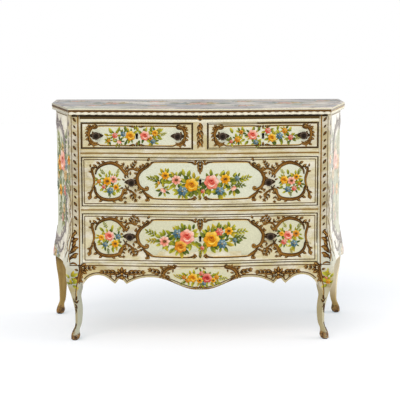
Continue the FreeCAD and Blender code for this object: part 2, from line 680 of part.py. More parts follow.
def stop(x, floor):
    """A small block on the rail, just behind the closed drawer front."""
    back = bowed_y(x, floor) + FRONT_THICKNESS + STOP_DEPTH
    block = box(x - STOP_WIDTH / 2, x + STOP_WIDTH / 2, NEAR, back, floor, floor + STOP_HEIGHT)
    return block.cut(AIR_FRONT_AND_GAP)


def glue_block(x, y, away):
    """Three-cornered block in the angle of a rail and the top."""
    start = x - BLOCK_LENGTH / 2
    points = [(start, y, CASE_TOP), (start, y + away * BLOCK_SIZE, CASE_TOP), (start, y, CASE_TOP - BLOCK_SIZE)]
    return prism(points, (BLOCK_LENGTH, 0, 0))


def top_screw(x, y, rail_low):
    """Returns the screw and the room that it and its pocket take from the rail."""
    seat = rail_low + SCREW_POCKET
    radius = SCREW_DIAMETER / 2
    shank = rod(x, y, seat, radius, CASE_TOP + SCREW_BITE - seat, Vector(0, 0, 1))
    head = rod(x, y, seat - radius, SCREW_HEAD / 2, radius, Vector(0, 0, 1))
    pocket = rod(x, y, rail_low, SCREW_HEAD / 2 + 1, SCREW_POCKET, Vector(0, 0, 1))
    return shank.fuse(head), pocket.fuse(shank)


def build():
    parts = {}
    half = DIVIDER_WIDTH / 2
    top_middle = (OPENING_HALF + half) / 2
    rows = [
        ("top_left", 0, -OPENING_HALF, -half, TOP_ROW_FLOOR, TOP_ROW, KNOB_SPREAD_TOP, KNOB_RISE_TOP, KEY_RISE_TOP),
        ("top_right", 0, half, OPENING_HALF, TOP_ROW_FLOOR, TOP_ROW, KNOB_SPREAD_TOP, KNOB_RISE_TOP, KEY_RISE_TOP),
        ("middle", 1, -OPENING_HALF, OPENING_HALF, MIDDLE_ROW_FLOOR, MIDDLE_ROW,
         KNOB_SPREAD_MIDDLE, KNOB_RISE_MIDDLE, KEY_RISE_MIDDLE),
        ("bottom", 2, -OPENING_HALF, OPENING_HALF, CASE_FLOOR, BOTTOM_ROW,
         KNOB_SPREAD_BOTTOM, KNOB_RISE_BOTTOM, KEY_RISE_BOTTOM),
    ]
    mortises = [[], [], []]
    for row in rows:
        pieces, mortise = drawer(*row)
        parts.update(pieces)
        mortises[row[1]].append(mortise)

    right_front = post_with_leg(front_post_corners, front_leg_corners, (0, POST_ARRIS, 0, 0))
    right_rear = post_with_leg(rear_post_corners, rear_leg_corners, (0, 0, POST_ARRIS, 0))
    parts["right_front_leg"] = [right_front]
    parts["left_front_leg"] = [mirrored(right_front)]
    parts["right_rear_leg"] = [right_rear]
    parts["left_rear_leg"] = [mirrored(right_rear)]
    glides = []
    for leg_corners in (front_leg_corners, rear_leg_corners):
        x, y = foot_centre(leg_corners)
        glides.append(rod(x, y, 0, GLIDE_DIAMETER / 2, GLIDE_THICKNESS, Vector(0, 0, 1)))
    parts["foot_glides"] = glides + [mirrored(glide) for glide in glides]
    panel = side_panel()
    parts["right_side_panel"] = [panel]
    parts["left_side_panel"] = [mirrored(panel)]

    back_rail_top = CASE_TOP - BACK_RAIL_HEIGHT
    bottom_rail_low = CASE_FLOOR - BACK_RAIL_HEIGHT
    screw_x = OPENING_HALF * 0.8
    front_screws = [top_screw(x, 0.65 * RAIL_DEPTH, TOP_ROW_TOP) for x in (-screw_x, -screw_x / 3, screw_x / 3, screw_x)]
    rear_y = (BACK_RAIL_Y + BACK_PANEL_Y) / 2
    rear_screws = [top_screw(x, rear_y, back_rail_top) for x in (-screw_x, 0, screw_x)]
    screws = [screw for screw, room in front_screws + rear_screws]
    parts["top_screws"] = screws
    parts["top_board"] = [top_board().cut(screws)]
    parts["edge_moulding"] = list(edge_moulding())
    parts["top_front_rail"] = [rail(TOP_ROW_TOP, CASE_TOP).cut([room for screw, room in front_screws] + mortises[0])]
    back_rail = box(-REAR_POST_X, REAR_POST_X, BACK_RAIL_Y, BACK_PANEL_Y, back_rail_top, CASE_TOP)
    parts["top_back_rail"] = [back_rail.cut([room for screw, room in rear_screws])]
    parts["upper_rail"] = [rail(MIDDLE_ROW_TOP, TOP_ROW_FLOOR).cut(mortises[1])]
    parts["lower_rail"] = [rail(BOTTOM_ROW_TOP, MIDDLE_ROW_FLOOR).cut(mortises[2])]
    parts["centre_divider"] = [box(-half, half, NEAR, RAIL_DEPTH, TOP_ROW_FLOOR, TOP_ROW_TOP).cut(AIR)]
    parts["apron"] = [apron().cut(parts["left_front_leg"] + parts["right_front_leg"])]
    bottom_rail = box(-OPENING_HALF, OPENING_HALF, NEAR, RAIL_DEPTH, CASE_FLOOR - LOWER_RAIL, CASE_FLOOR)
    parts["bottom_front_rail"] = [bottom_rail.cut(AIR_AND_APRON)]
    parts["bottom_back_rail"] = [box(-REAR_POST_X, REAR_POST_X, BACK_RAIL_Y, BACK_PANEL_Y, bottom_rail_low, CASE_FLOOR)]
    parts["back_panel"] = [box(-REAR_POST_X, REAR_POST_X, BACK_PANEL_Y, BACK_PANEL_Y + BACK_THICKNESS,
                               bottom_rail_low, CASE_TOP)]

    floors = (CASE_FLOOR, MIDDLE_ROW_FLOOR, TOP_ROW_FLOOR)
    rears = (BACK_RAIL_Y, BACK_PANEL_Y, BACK_PANEL_Y)
    runners = [runner(floor, rear) for floor, rear in zip(floors, rears)]
    parts["side_runners"] = runners + [mirrored(bar) for bar in runners]
    guides = [guide(floor) for floor in floors]
    parts["side_guides"] = guides + [mirrored(strip) for strip in guides]
    parts["centre_runner"] = [centre_runner()]
    parts["top_kickers"] = kickers()
    reach = OPENING_HALF - RUNNER_REACH
    board = dust_board(half + RUNNER_REACH, reach, TOP_ROW_FLOOR, BACK_PANEL_Y)
    parts["upper_dust_boards"] = [board, mirrored(board)]
    parts["lower_dust_board"] = [dust_board(-reach, reach, MIDDLE_ROW_FLOOR, BACK_PANEL_Y)]
    parts["bottom_board"] = [dust_board(-reach, reach, CASE_FLOOR, BACK_RAIL_Y)]
    stops = [stop(side * x, floor) for floor in floors[:2] for side in (-1, 1) for x in (0.65 * OPENING_HALF,)]
    quarter = (OPENING_HALF - half) / 4
    stops += [stop(side * top_middle + shift, TOP_ROW_FLOOR) for side in (-1, 1) for shift in (-quarter, quarter)]
    parts["drawer_stops"] = stops
    block_x = OPENING_HALF / 2
    parts["glue_blocks"] = [glue_block(x, y, away) for x in (-block_x, block_x)
                            for y, away in ((RAIL_DEPTH, 1), (BACK_RAIL_Y, -1))]
    return parts


def front_most():
    """The foremost point: the full of the front, the edge of the top, or the tip of a knob."""
    knobs = [((OPENING_HALF + DIVIDER_WIDTH / 2) / 2 - KNOB_SPREAD_TOP, TOP_ROW_FLOOR),
             (KNOB_SPREAD_MIDDLE, MIDDLE_ROW_FLOOR + MIDDLE_ROW / 2 + KNOB_RISE_MIDDLE),
             (KNOB_SPREAD_BOTTOM, CASE_FLOOR + BOTTOM_ROW / 2 + KNOB_RISE_BOTTOM)]
    tips = [bowed_y(x, z) - PLATE_THICKNESS - KNOB_REACH for x, z in knobs]
    return min(tips + [bowed_y(0, HIP_HEIGHT), bowed_y(0, CASE_TOP) - TOP_FRONT_OVERHANG])


def main():
    os.makedirs("parts", exist_ok=True)
    home = Vector(0, -(front_most() + BACK_Y + TOP_BACK_OVERHANG) / 2, 0)
    for name, solids in build().items():
        shape = solids[0] if len(solids) == 1 else Part.makeCompound(solids)
        shape.translate(home)
        shape.exportStep("parts/" + name + ".step")
        print(name, len(shape.Solids), shape.isValid(), round(shape.Volume))


main()
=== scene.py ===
"""A painted bombe chest of drawers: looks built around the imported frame."""
import math
import random

import bmesh
import bpy
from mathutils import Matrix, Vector
from mathutils.bvhtree import BVHTree

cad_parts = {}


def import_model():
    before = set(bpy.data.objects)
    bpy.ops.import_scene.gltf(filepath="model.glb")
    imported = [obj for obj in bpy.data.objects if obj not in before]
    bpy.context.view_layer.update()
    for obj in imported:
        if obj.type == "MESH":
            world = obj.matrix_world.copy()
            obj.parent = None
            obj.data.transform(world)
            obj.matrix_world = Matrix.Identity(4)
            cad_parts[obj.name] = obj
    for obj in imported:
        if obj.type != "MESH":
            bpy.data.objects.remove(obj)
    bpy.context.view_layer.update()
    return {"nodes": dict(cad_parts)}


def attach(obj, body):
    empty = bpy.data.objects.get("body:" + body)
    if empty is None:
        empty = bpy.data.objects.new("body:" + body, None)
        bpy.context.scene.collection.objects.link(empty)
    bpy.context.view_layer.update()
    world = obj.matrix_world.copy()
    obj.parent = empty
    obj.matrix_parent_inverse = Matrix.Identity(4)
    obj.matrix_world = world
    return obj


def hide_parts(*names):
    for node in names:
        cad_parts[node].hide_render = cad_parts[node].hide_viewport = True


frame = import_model()
NODES = frame["nodes"]
MM = 0.001
POST_FACE_Y = -191.071       # the face of the front posts in the frame, in mm
DRAWERS = ("top_left", "top_right", "middle", "bottom")


# ---- colours ----
def tone(r, g, b):
    """A colour as written in 0-255 display values, made linear."""
    def linear(c):
        c /= 255
        return c / 12.92 if c <= 0.04045 else ((c + 0.055) / 1.055) ** 2.4
    return (linear(r), linear(g), linear(b))


def mix(a, b, t):
    return tuple(x + (y - x) * t for x, y in zip(a, b))


CREAM = tone(204, 194, 152)
WARM_CREAM = tone(196, 178, 126)
PALE = tone(231, 224, 198)
FIELD = tone(210, 212, 188)
GREY_GREEN = tone(162, 161, 142)
POST_CREAM = tone(187, 172, 128)
GOLD_DEEP = tone(42, 24, 2)
GOLD_DARK = tone(82, 50, 6)
GOLD = tone(142, 92, 18)
GOLD_LIGHT = tone(226, 184, 104)
LINE_BROWN = tone(88, 60, 12)
LINE_GOLD = tone(148, 106, 36)
# dark brown: painted shade on the drawer fronts' edges; stain, grime in cracks and flower eyes elsewhere
SHADE_AND_GRIME_BROWN = tone(34, 22, 10)
OCHRE = tone(160, 134, 78)
EDGE_BROWN = tone(58, 38, 8)


# ---- materials ----
class Nodes:
    """Short hand for building a shader."""
    def __init__(self, name):
        self.material = bpy.data.materials.new(name)
        self.material.use_nodes = True
        self.tree = self.material.node_tree
        self.shader = self.tree.nodes["Principled BSDF"]
        self.place = self.tree.nodes.new("ShaderNodeTexCoord").outputs["Object"]

    def node(self, kind, **settings):
        made = self.tree.nodes.new("ShaderNode" + kind)
        for key, value in settings.items():
            setattr(made, key, value)
        return made

    def link(self, a, b):
        self.tree.links.new(a, b)

    def scaled(self, x, y, z, source=None):
        mapping = self.node("Mapping")
        self.link(source or self.place, mapping.inputs["Vector"])
        mapping.inputs["Scale"].default_value = (x, y, z)
        return mapping.outputs["Vector"]

    def noise(self, scale, detail=4.0, roughness=0.55, vector=None, distortion=0.0):
        made = self.node("TexNoise")
        self.link(vector or self.place, made.inputs["Vector"])
        made.inputs["Scale"].default_value = scale
        made.inputs["Detail"].default_value = detail
        made.inputs["Roughness"].default_value = roughness
        made.inputs["Distortion"].default_value = distortion
        return made.outputs["Fac"]

    def ramp(self, value, low, high, low_colour=(0, 0, 0), high_colour=(1, 1, 1)):
        made = self.node("ValToRGB")
        self.link(value, made.inputs["Fac"])
        stops = made.color_ramp.elements
        stops[0].position, stops[1].position = low, high
        stops[0].color = (*low_colour, 1)
        stops[1].color = (*high_colour, 1)
        return made.outputs["Color"]

    def blend(self, share, a, b, kind="MIX"):
        made = self.node("Mix", data_type="RGBA", blend_type=kind)
        for socket, value in ((made.inputs[0], share), (made.inputs[6], a), (made.inputs[7], b)):
            if hasattr(value, "is_linked"):
                self.link(value, socket)
            elif isinstance(value, tuple):
                socket.default_value = (*value, 1)
            else:
                socket.default_value = value
        return made.outputs[2]

    def maths(self, operation, a, b=0.0, c=0.0):
        made = self.node("Math", operation=operation)
        for socket, value in zip(made.inputs, (a, b, c)):
            if hasattr(value, "is_linked"):
                self.link(value, socket)
            else:
                socket.default_value = value
        return made.outputs[0]

    def cracks(self, scale, width, vector=None):
        """Fine lines between the cells of a crackled coat: 1 on a line."""
        warped = self.node("VectorMath", operation="ADD")
        wobble = self.node("TexNoise")
        self.link(vector or self.place, wobble.inputs["Vector"])
        wobble.inputs["Scale"].default_value = scale * 0.8
        eased = self.node("VectorMath", operation="SCALE")
        self.link(wobble.outputs["Color"], eased.inputs[0])
        eased.inputs["Scale"].default_value = 0.6 / scale
        self.link(vector or self.place, warped.inputs[0])
        self.link(eased.outputs[0], warped.inputs[1])
        cells = self.node("TexVoronoi", feature="DISTANCE_TO_EDGE")
        self.link(warped.outputs[0], cells.inputs["Vector"])
        cells.inputs["Scale"].default_value = scale
        return self.ramp(cells.outputs["Distance"], 0.0, width, (1, 1, 1), (0, 0, 0))

    def relief(self, value, strength, distance):
        made = self.node("Bump")
        made.inputs["Strength"].default_value = strength
        made.inputs["Distance"].default_value = distance
        self.link(value, made.inputs["Height"])
        self.link(made.outputs[0], self.shader.inputs["Normal"])

    def finish(self, colour, roughness):
        self.link(colour, self.shader.inputs["Base Color"])
        if hasattr(roughness, "is_linked"):
            self.link(roughness, self.shader.inputs["Roughness"])
        else:
            self.shader.inputs["Roughness"].default_value = roughness
        return self.material


def aged_coat(n, base, second, grime, wear=0.06):
    """Brushed, mottled and crackled oil paint: its colour and its height."""
    cloud = n.ramp(n.noise(7.0, 5.0), 0.35, 0.68)
    colour = n.blend(cloud, base, second)
    chalky = n.ramp(n.noise(16.0, 4.0, 0.6, n.scaled(1.0, 1.0, 2.2)), 0.46, 0.60, (0.0,) * 3, (0.6,) * 3)
    colour = n.blend(chalky, colour, mix(base, (0.86, 0.85, 0.80), 0.7))
    darkened = n.ramp(n.noise(11.0, 5.0, 0.65, n.scaled(0.7, 1.0, 1.6)), 0.50, 0.66, (0.0,) * 3, (0.55,) * 3)
    colour = n.blend(darkened, colour, mix(second, grime, 0.4))
    fleck = n.ramp(n.noise(120.0, 3.0), 0.3, 0.75)
    colour = n.blend(n.blend(fleck, (0.10,) * 3, (0.0,) * 3), colour, grime)
    brushed = n.noise(30.0, 6.0, 0.6, n.scaled(1.5, 4.0, 14.0))
    colour = n.blend(n.ramp(brushed, 0.35, 0.8, (0.16,) * 3, (0.0,) * 3), colour, grime)
    crackle = n.cracks(85.0, 0.028)
    patchy = n.ramp(n.noise(9.0, 2.0), 0.40, 0.62)
    lines = n.maths("MULTIPLY", crackle, patchy)
    colour = n.blend(n.maths("MULTIPLY", lines, 0.42), colour, grime)
    spots = n.ramp(n.noise(42.0, 6.0, 0.7), 0.70 - wear, 0.74 - wear)
    colour = n.blend(n.maths("MULTIPLY", spots, 0.75), colour, GOLD_DARK)
    height = n.maths("SUBTRACT", n.maths("MULTIPLY", brushed, 0.5), n.maths("MULTIPLY", lines, 0.7))
    height = n.maths("SUBTRACT", height, n.maths("MULTIPLY", spots, 0.5))
    return colour, height


def painted(name, base, second, grime=GOLD_DARK, wear=0.02, extra=None):
    n = Nodes(name)
    colour, height = aged_coat(n, base, second, grime, wear)
    if extra:
        colour = extra(n, colour)
    n.relief(height, 0.35, 0.0006)
    n.shader.inputs["Specular IOR Level"].default_value = 0.2
    return n.finish(colour, n.ramp(n.noise(25.0), 0.3, 0.7, (0.42,) * 3, (0.62,) * 3))


def wood_colour(n, light, dark, along):
    """Straight-grained wood; along is the axis that its grain follows."""
    scale = [95.0, 95.0, 95.0]
    scale["xyz".index(along)] = 3.0
    grain = n.noise(1.0, 8.0, 0.65, n.scaled(*scale), 0.6)
    broad = n.noise(1.0, 3.0, 0.5, n.scaled(*[s / 6 for s in scale]), 1.2)
    colour = n.blend(n.ramp(grain, 0.3, 0.7), dark, light)
    return n.blend(n.ramp(broad, 0.35, 0.7, (0.35,) * 3, (0.0,) * 3), colour, dark), grain


def bare_wood(name, light, dark, along, roughness=0.68):
    n = Nodes(name)
    colour, grain = wood_colour(n, light, dark, along)
    stain = n.ramp(n.noise(5.0, 4.0), 0.45, 0.75, (0.0,) * 3, (0.3,) * 3)
    colour = n.blend(stain, colour, SHADE_AND_GRIME_BROWN)
    n.relief(grain, 0.25, 0.0004)
    return n.finish(colour, roughness)


def facing(n, axis, low, high):
    """0 to 1 as the surface turns towards +axis of the object."""
    split = n.node("SeparateXYZ")
    n.link(n.tree.nodes["Texture Coordinate"].outputs["Normal"], split.inputs[0])
    return n.ramp(n.maths("MULTIPLY_ADD", split.outputs["XYZ".index(axis)], 0.5, 0.5), low, high)


def height_share(n, low, high):
    """0 to 1 as z goes from low to high, in metres."""
    split = n.node("SeparateXYZ")
    n.link(n.place, split.inputs[0])
    made = n.node("MapRange")
    n.link(split.outputs[2], made.inputs["Value"])
    made.inputs["From Min"].default_value = low
    made.inputs["From Max"].default_value = high
    made.interpolation_type = "SMOOTHSTEP"
    return made.outputs["Result"]


def drawer_front_material():
    """Paint on the face, edges dark brown as painted shade of the gaps, bare wood behind."""
    def sides(n, colour):
        wood, _ = wood_colour(n, tone(176, 138, 92), tone(118, 82, 48), "x")
        # painted shade: the edges, which face into the gaps, go dark brown
        gap_shade = facing(n, "Y", 0.16, 0.24)
        colour = n.blend(gap_shade, colour, SHADE_AND_GRIME_BROWN)
        return n.blend(facing(n, "Y", 0.80, 0.90), colour, wood)
    return painted("painted_front", mix(CREAM, PALE, 0.35), mix(CREAM, WARM_CREAM, 0.3), extra=sides)


def leg_material(side, rear):
    """Cream outside, grey-green towards the middle; worn brown feet; plain ochre on a rear leg's unseen faces, darkened
    at its top by a painted shadow under the side's arch, and on the right paled upwards by painted light.
    """
    def faces(n, colour):
        low = n.maths("SUBTRACT", 1.0, height_share(n, 0.255, 0.285))
        split = (0.56, 0.66) if rear else (0.38, 0.46)
        inner = facing(n, "X", *split) if side < 0 else facing(n, "X", 1 - split[0], 1 - split[1])
        below = n.maths("SUBTRACT", 1.0, height_share(n, 0.10, 0.20))
        if rear:
            front = n.maths("SUBTRACT", 1.0, facing(n, "Y", 0.25, 0.40))
            plain = n.maths("MAXIMUM", n.maths("MULTIPLY", front, low), n.maths("MULTIPLY", inner, 1.0))
            streaks = n.noise(1.0, 5.0, 0.6, n.scaled(60, 60, 5))
            ochre = n.blend(n.ramp(streaks, 0.3, 0.75), OCHRE, tone(124, 98, 46))
            # painted shadow: the top of a rear leg darkens where the side's arch shades it
            under = n.maths("MULTIPLY", low, height_share(n, 0.205, 0.262))
            ochre = n.blend(n.maths("MULTIPLY", under, 0.8), ochre, tone(58, 40, 18))
            # painted light: the right rear leg pales towards the top, as lit from the right
            if side > 0:
                pale = n.blend(streaks, mix(OCHRE, PALE, 0.66), tone(230, 214, 180))
                ochre = n.blend(height_share(n, 0.03, 0.15), ochre, pale)
            colour = n.blend(plain, colour, ochre)
        else:
            grey = GREY_GREEN if side < 0 else mix(GREY_GREEN, tone(176, 160, 118), 0.5)
            share = n.maths("MAXIMUM", n.maths("MULTIPLY", inner, low), n.maths("MULTIPLY", below, 0.8))
            colour = n.blend(share, colour, grey)
            # the outer facet darker and tan towards the bottom
            darkened = n.maths("MULTIPLY", n.maths("SUBTRACT", 1.0, inner), n.maths("SUBTRACT", 1.0, height_share(n, 0.15, 0.25)))
            colour = n.blend(n.maths("MULTIPLY", darkened, 0.7), colour, tone(142, 128, 88))
            knee = n.maths("MULTIPLY", height_share(n, 0.24, 0.30), n.maths("SUBTRACT", 1.0, height_share(n, 0.34, 0.44)))
            colour = n.blend(n.maths("MULTIPLY", knee, 0.7), colour, tone(196, 198, 184))
        ragged = n.maths("ADD", n.noise(55.0, 4.0), n.maths("MULTIPLY", height_share(n, 0.008, 0.085), 0.55))
        worn = n.ramp(ragged, 0.52, 0.66, (1, 1, 1), (0, 0, 0))
        foot = n.blend(n.ramp(n.noise(90.0, 5.0), 0.4, 0.62), tone(60, 38, 18), tone(138, 102, 54))
        return n.blend(worn, colour, foot)
    base = CREAM if rear else POST_CREAM
    return painted(f"painted_leg_{'left' if side < 0 else 'right'}_{'rear' if rear else 'front'}",
                   base, mix(base, GREY_GREEN, 0.35), extra=faces, wear=0.05)


def top_material():
    """Grey marbling with rosy and green clouds and brown veins, faded."""
    def marbled(n, colour):
        flow = n.scaled(0.55, 1.3, 1.0)
        for scale, low, tint, share in ((5.0, 0.42, tone(146, 148, 154), 0.8), (3.6, 0.54, tone(208, 172, 150), 0.55),
                                        (4.4, 0.55, tone(160, 174, 156), 0.55), (7.0, 0.57, tone(132, 122, 118), 0.5)):
            cloud = n.noise(scale, 6.0, 0.6, flow, 1.4 + 0.1 * scale)
            colour = n.blend(n.ramp(cloud, low, low + 0.13, (0.0,) * 3, (share,) * 3), colour, tint)
        vein = n.cracks(9.0, 0.035, flow)
        return n.blend(n.maths("MULTIPLY", vein, 0.5), colour, tone(112, 98, 92))
    return painted("painted_top", tone(218, 210, 196), tone(200, 194, 186), grime=tone(140, 128, 116), extra=marbled)


def side_material(word, base, second, cloud):
    """Cream with rosy-grey clouds."""
    def clouded(n, colour):
        drift = n.noise(6.0, 5.0, 0.6, None, 1.0)
        return n.blend(n.ramp(drift, 0.45, 0.62, (0.0,) * 3, (0.4,) * 3), colour, cloud)
    return painted(f"painted_{word}_side", base, second, grime=tone(140, 122, 96), extra=clouded)


def strokes_material(name, metallic=0.0, roughness=(0.38, 0.6), grime=0.25):
    """Paint laid in strokes: each stroke's own colour, brush-marked and slightly soiled."""
    n = Nodes(name)
    own = n.node("Attribute", attribute_name="Pigment").outputs["Color"]
    marks = n.noise(260.0, 4.0, 0.6, n.scaled(1.0, 1.0, 1.6))
    colour = n.blend(n.ramp(marks, 0.35, 0.75, (0.22,) * 3, (0.0,) * 3), own, (0.03, 0.02, 0.01))
    crackle = n.maths("MULTIPLY", n.cracks(85.0, 0.028), n.ramp(n.noise(9.0, 2.0), 0.40, 0.62))
    colour = n.blend(n.maths("MULTIPLY", crackle, grime), colour, SHADE_AND_GRIME_BROWN)
    n.shader.inputs["Metallic"].default_value = metallic
    n.shader.inputs["Specular IOR Level"].default_value = 0.1
    n.relief(n.maths("SUBTRACT", n.maths("MULTIPLY", marks, 0.6), crackle), 0.3, 0.0004)
    return n.finish(colour, n.ramp(n.noise(40.0), 0.3, 0.7, (roughness[0],) * 3, (roughness[1],) * 3))


def metal(name, dark, light, roughness):
    n = Nodes(name)
    n.shader.inputs["Metallic"].default_value = 0.75
    cloud = n.noise(70.0, 5.0, 0.6)
    colour = n.blend(n.ramp(cloud, 0.35, 0.7), dark, light)
    n.relief(cloud, 0.3, 0.0004)
    return n.finish(colour, n.ramp(n.noise(120.0), 0.3, 0.7, (roughness - 0.1,) * 3, (roughness + 0.12,) * 3))


def dress(material, *names):
    for name in names:
        NODES[name].data.materials.clear()
        NODES[name].data.materials.append(material)


PAINT = strokes_material("flower_paint")
GILDING = strokes_material("gilding", 0.0, (0.34, 0.54), 0.4)
BRONZE = strokes_material("dark_bronze", 0.35, (0.26, 0.42), 0.1)
IRON = metal("old_iron", tone(34, 30, 28), tone(74, 68, 62), 0.5)

dress(drawer_front_material(), *[f"{d}_drawer_front" for d in DRAWERS])
dress(painted("painted_rails", CREAM, WARM_CREAM), "top_front_rail", "upper_rail", "lower_rail", "centre_divider",
      "bottom_front_rail")
dress(painted("painted_apron", WARM_CREAM, CREAM, wear=0.04), "apron")
for side, word in ((-1, "left"), (1, "right")):
    dress(leg_material(side, False), f"{word}_front_leg")
    dress(leg_material(side, True), f"{word}_rear_leg")
# the right panel gets lighter paint and clouds than the left: painted light from the right
dress(side_material("left", tone(224, 217, 194), tone(210, 206, 186), tone(184, 176, 178)), "left_side_panel")
dress(side_material("right", tone(242, 238, 226), tone(234, 230, 218), tone(222, 216, 214)), "right_side_panel")
TOP_PAINT = top_material()
dress(TOP_PAINT, "top_board")
PINE = bare_wood("pine_x", tone(196, 160, 112), tone(150, 108, 66), "x")
PINE_DEEP = bare_wood("pine_y", tone(190, 152, 104), tone(142, 100, 60), "y")
BACK_WOOD = bare_wood("back_boards", tone(150, 112, 72), tone(98, 66, 38), "z", 0.75)
for d in DRAWERS:
    dress(PINE_DEEP, f"{d}_drawer_left_side", f"{d}_drawer_right_side")
    dress(PINE, f"{d}_drawer_back", f"{d}_drawer_bottom")
    dress(IRON, f"{d}_drawer_lock", f"{d}_drawer_bolt")
dress(BACK_WOOD, "back_panel")
dress(PINE, "top_back_rail", "bottom_back_rail", "lower_dust_board", "upper_dust_boards", "bottom_board",
      "drawer_stops", "glue_blocks")
dress(PINE_DEEP, "centre_runner", "side_guides", "side_runners", "top_kickers")
dress(IRON, "top_screws")
dress(bare_wood("glides", tone(70, 48, 30), tone(40, 26, 16), "z"), "foot_glides")


# ---- surfaces that paint lies on ----
class Surface:
    """Turns a place (u, v) in mm, seen from outside, into a point on the skin of some nodes."""
    jump = 0.009             # a step in depth that means the ray has left the piece

    def __init__(self, names, start, right, up, out):
        corners, faces = [], []
        for name in names:
            mesh = NODES[name].data
            first = len(corners)
            corners += [v.co.copy() for v in mesh.vertices]
            faces += [[first + i for i in p.vertices] for p in mesh.polygons]
        self.tree = BVHTree.FromPolygons(corners, faces)
        self.start, self.right, self.up, self.out = (Vector(a) for a in (start, right, up, out))
        self.depth = 0.6

    def origin(self, u, v):
        return self.start + self.right * (u * MM) + self.up * (v * MM)

    def settle(self, *places):
        """Starts a stroke at the depth found at the first of these places that lies on the skin."""
        for u, v in places:
            hit, _, _, depth = self.tree.ray_cast(self.origin(u, v), -self.out)
            if hit is not None and depth < self.reach:
                self.depth = depth
                return

    reach = 0.95

    def at(self, u, v, lift):
        origin = self.origin(u, v)
        hit, _, _, depth = self.tree.ray_cast(origin, -self.out)
        if hit is None or abs(depth - self.depth) > self.jump:
            hit = self.tree.find_nearest(origin - self.out * self.depth)[0]
        else:
            self.depth = depth
        return hit + self.out * (lift * MM)


def front_of(*names):
    return Surface(names, (0, -1, 0), (1, 0, 0), (0, 0, 1), (0, -1, 0))


def side_of(side):
    word = "left" if side < 0 else "right"
    names = (f"{word}_side_panel", f"{word}_front_leg", f"{word}_rear_leg")
    return Surface(names, (side, 0, 0), (0, 1, 0), (0, 0, 1), (side, 0, 0))


# ---- strokes ----
def resampled(points, step):
    """Points about step apart on a smooth curve through the given ones."""
    if len(points) < 3:
        (x0, y0), (x1, y1) = points
        count = max(1, round(math.dist(points[0], points[1]) / step))
        return [(x0 + (x1 - x0) * i / count, y0 + (y1 - y0) * i / count) for i in range(count + 1)]
    padded = [points[0], *points, points[-1]]
    found = []
    for a, b, c, d in zip(padded, padded[1:], padded[2:], padded[3:]):
        count = max(1, round(math.dist(b, c) / step))
        for i in range(count):
            t = i / count
            found.append(tuple(0.5 * (2 * b[k] + (c[k] - a[k]) * t + (2 * a[k] - 5 * b[k] + 4 * c[k] - d[k]) * t * t
                                      + (3 * b[k] - a[k] - 3 * c[k] + d[k]) * t ** 3) for k in (0, 1)))
    return found + [points[-1]]


def heading(path, i):
    (ax, ay), (bx, by) = path[max(i - 1, 0)], path[min(i + 1, len(path) - 1)]
    return math.atan2(by - ay, bx - ax)


def curled(points, radius, turn, first=False):
    """Adds a spiral at the end (or the start) of a line of points; turn is 1 to the left or -1 to the right."""
    line = points[::-1] if first else list(points)
    (ax, ay), (bx, by) = line[-2], line[-1]
    facing_to = math.atan2(by - ay, bx - ax)
    centre = (bx - turn * radius * math.sin(facing_to), by + turn * radius * math.cos(facing_to))
    begin = facing_to - turn * math.pi / 2
    for i in range(1, 10):
        t = i / 9
        r = radius * (1 - 0.7 * t)
        a = begin + turn * 4.4 * t
        line.append((centre[0] + r * math.cos(a), centre[1] + r * math.sin(a)))
    return line[::-1] if first else line


def swept_path(x, y, angle, length, bend, steps):
    path = [(x, y)]
    for i in range(steps):
        a = angle + bend * i / steps
        path.append((path[-1][0] + math.cos(a) * length / steps, path[-1][1] + math.sin(a) * length / steps))
    return path


SINK = -0.25                 # how far a stroke's rim lies under the skin, mm


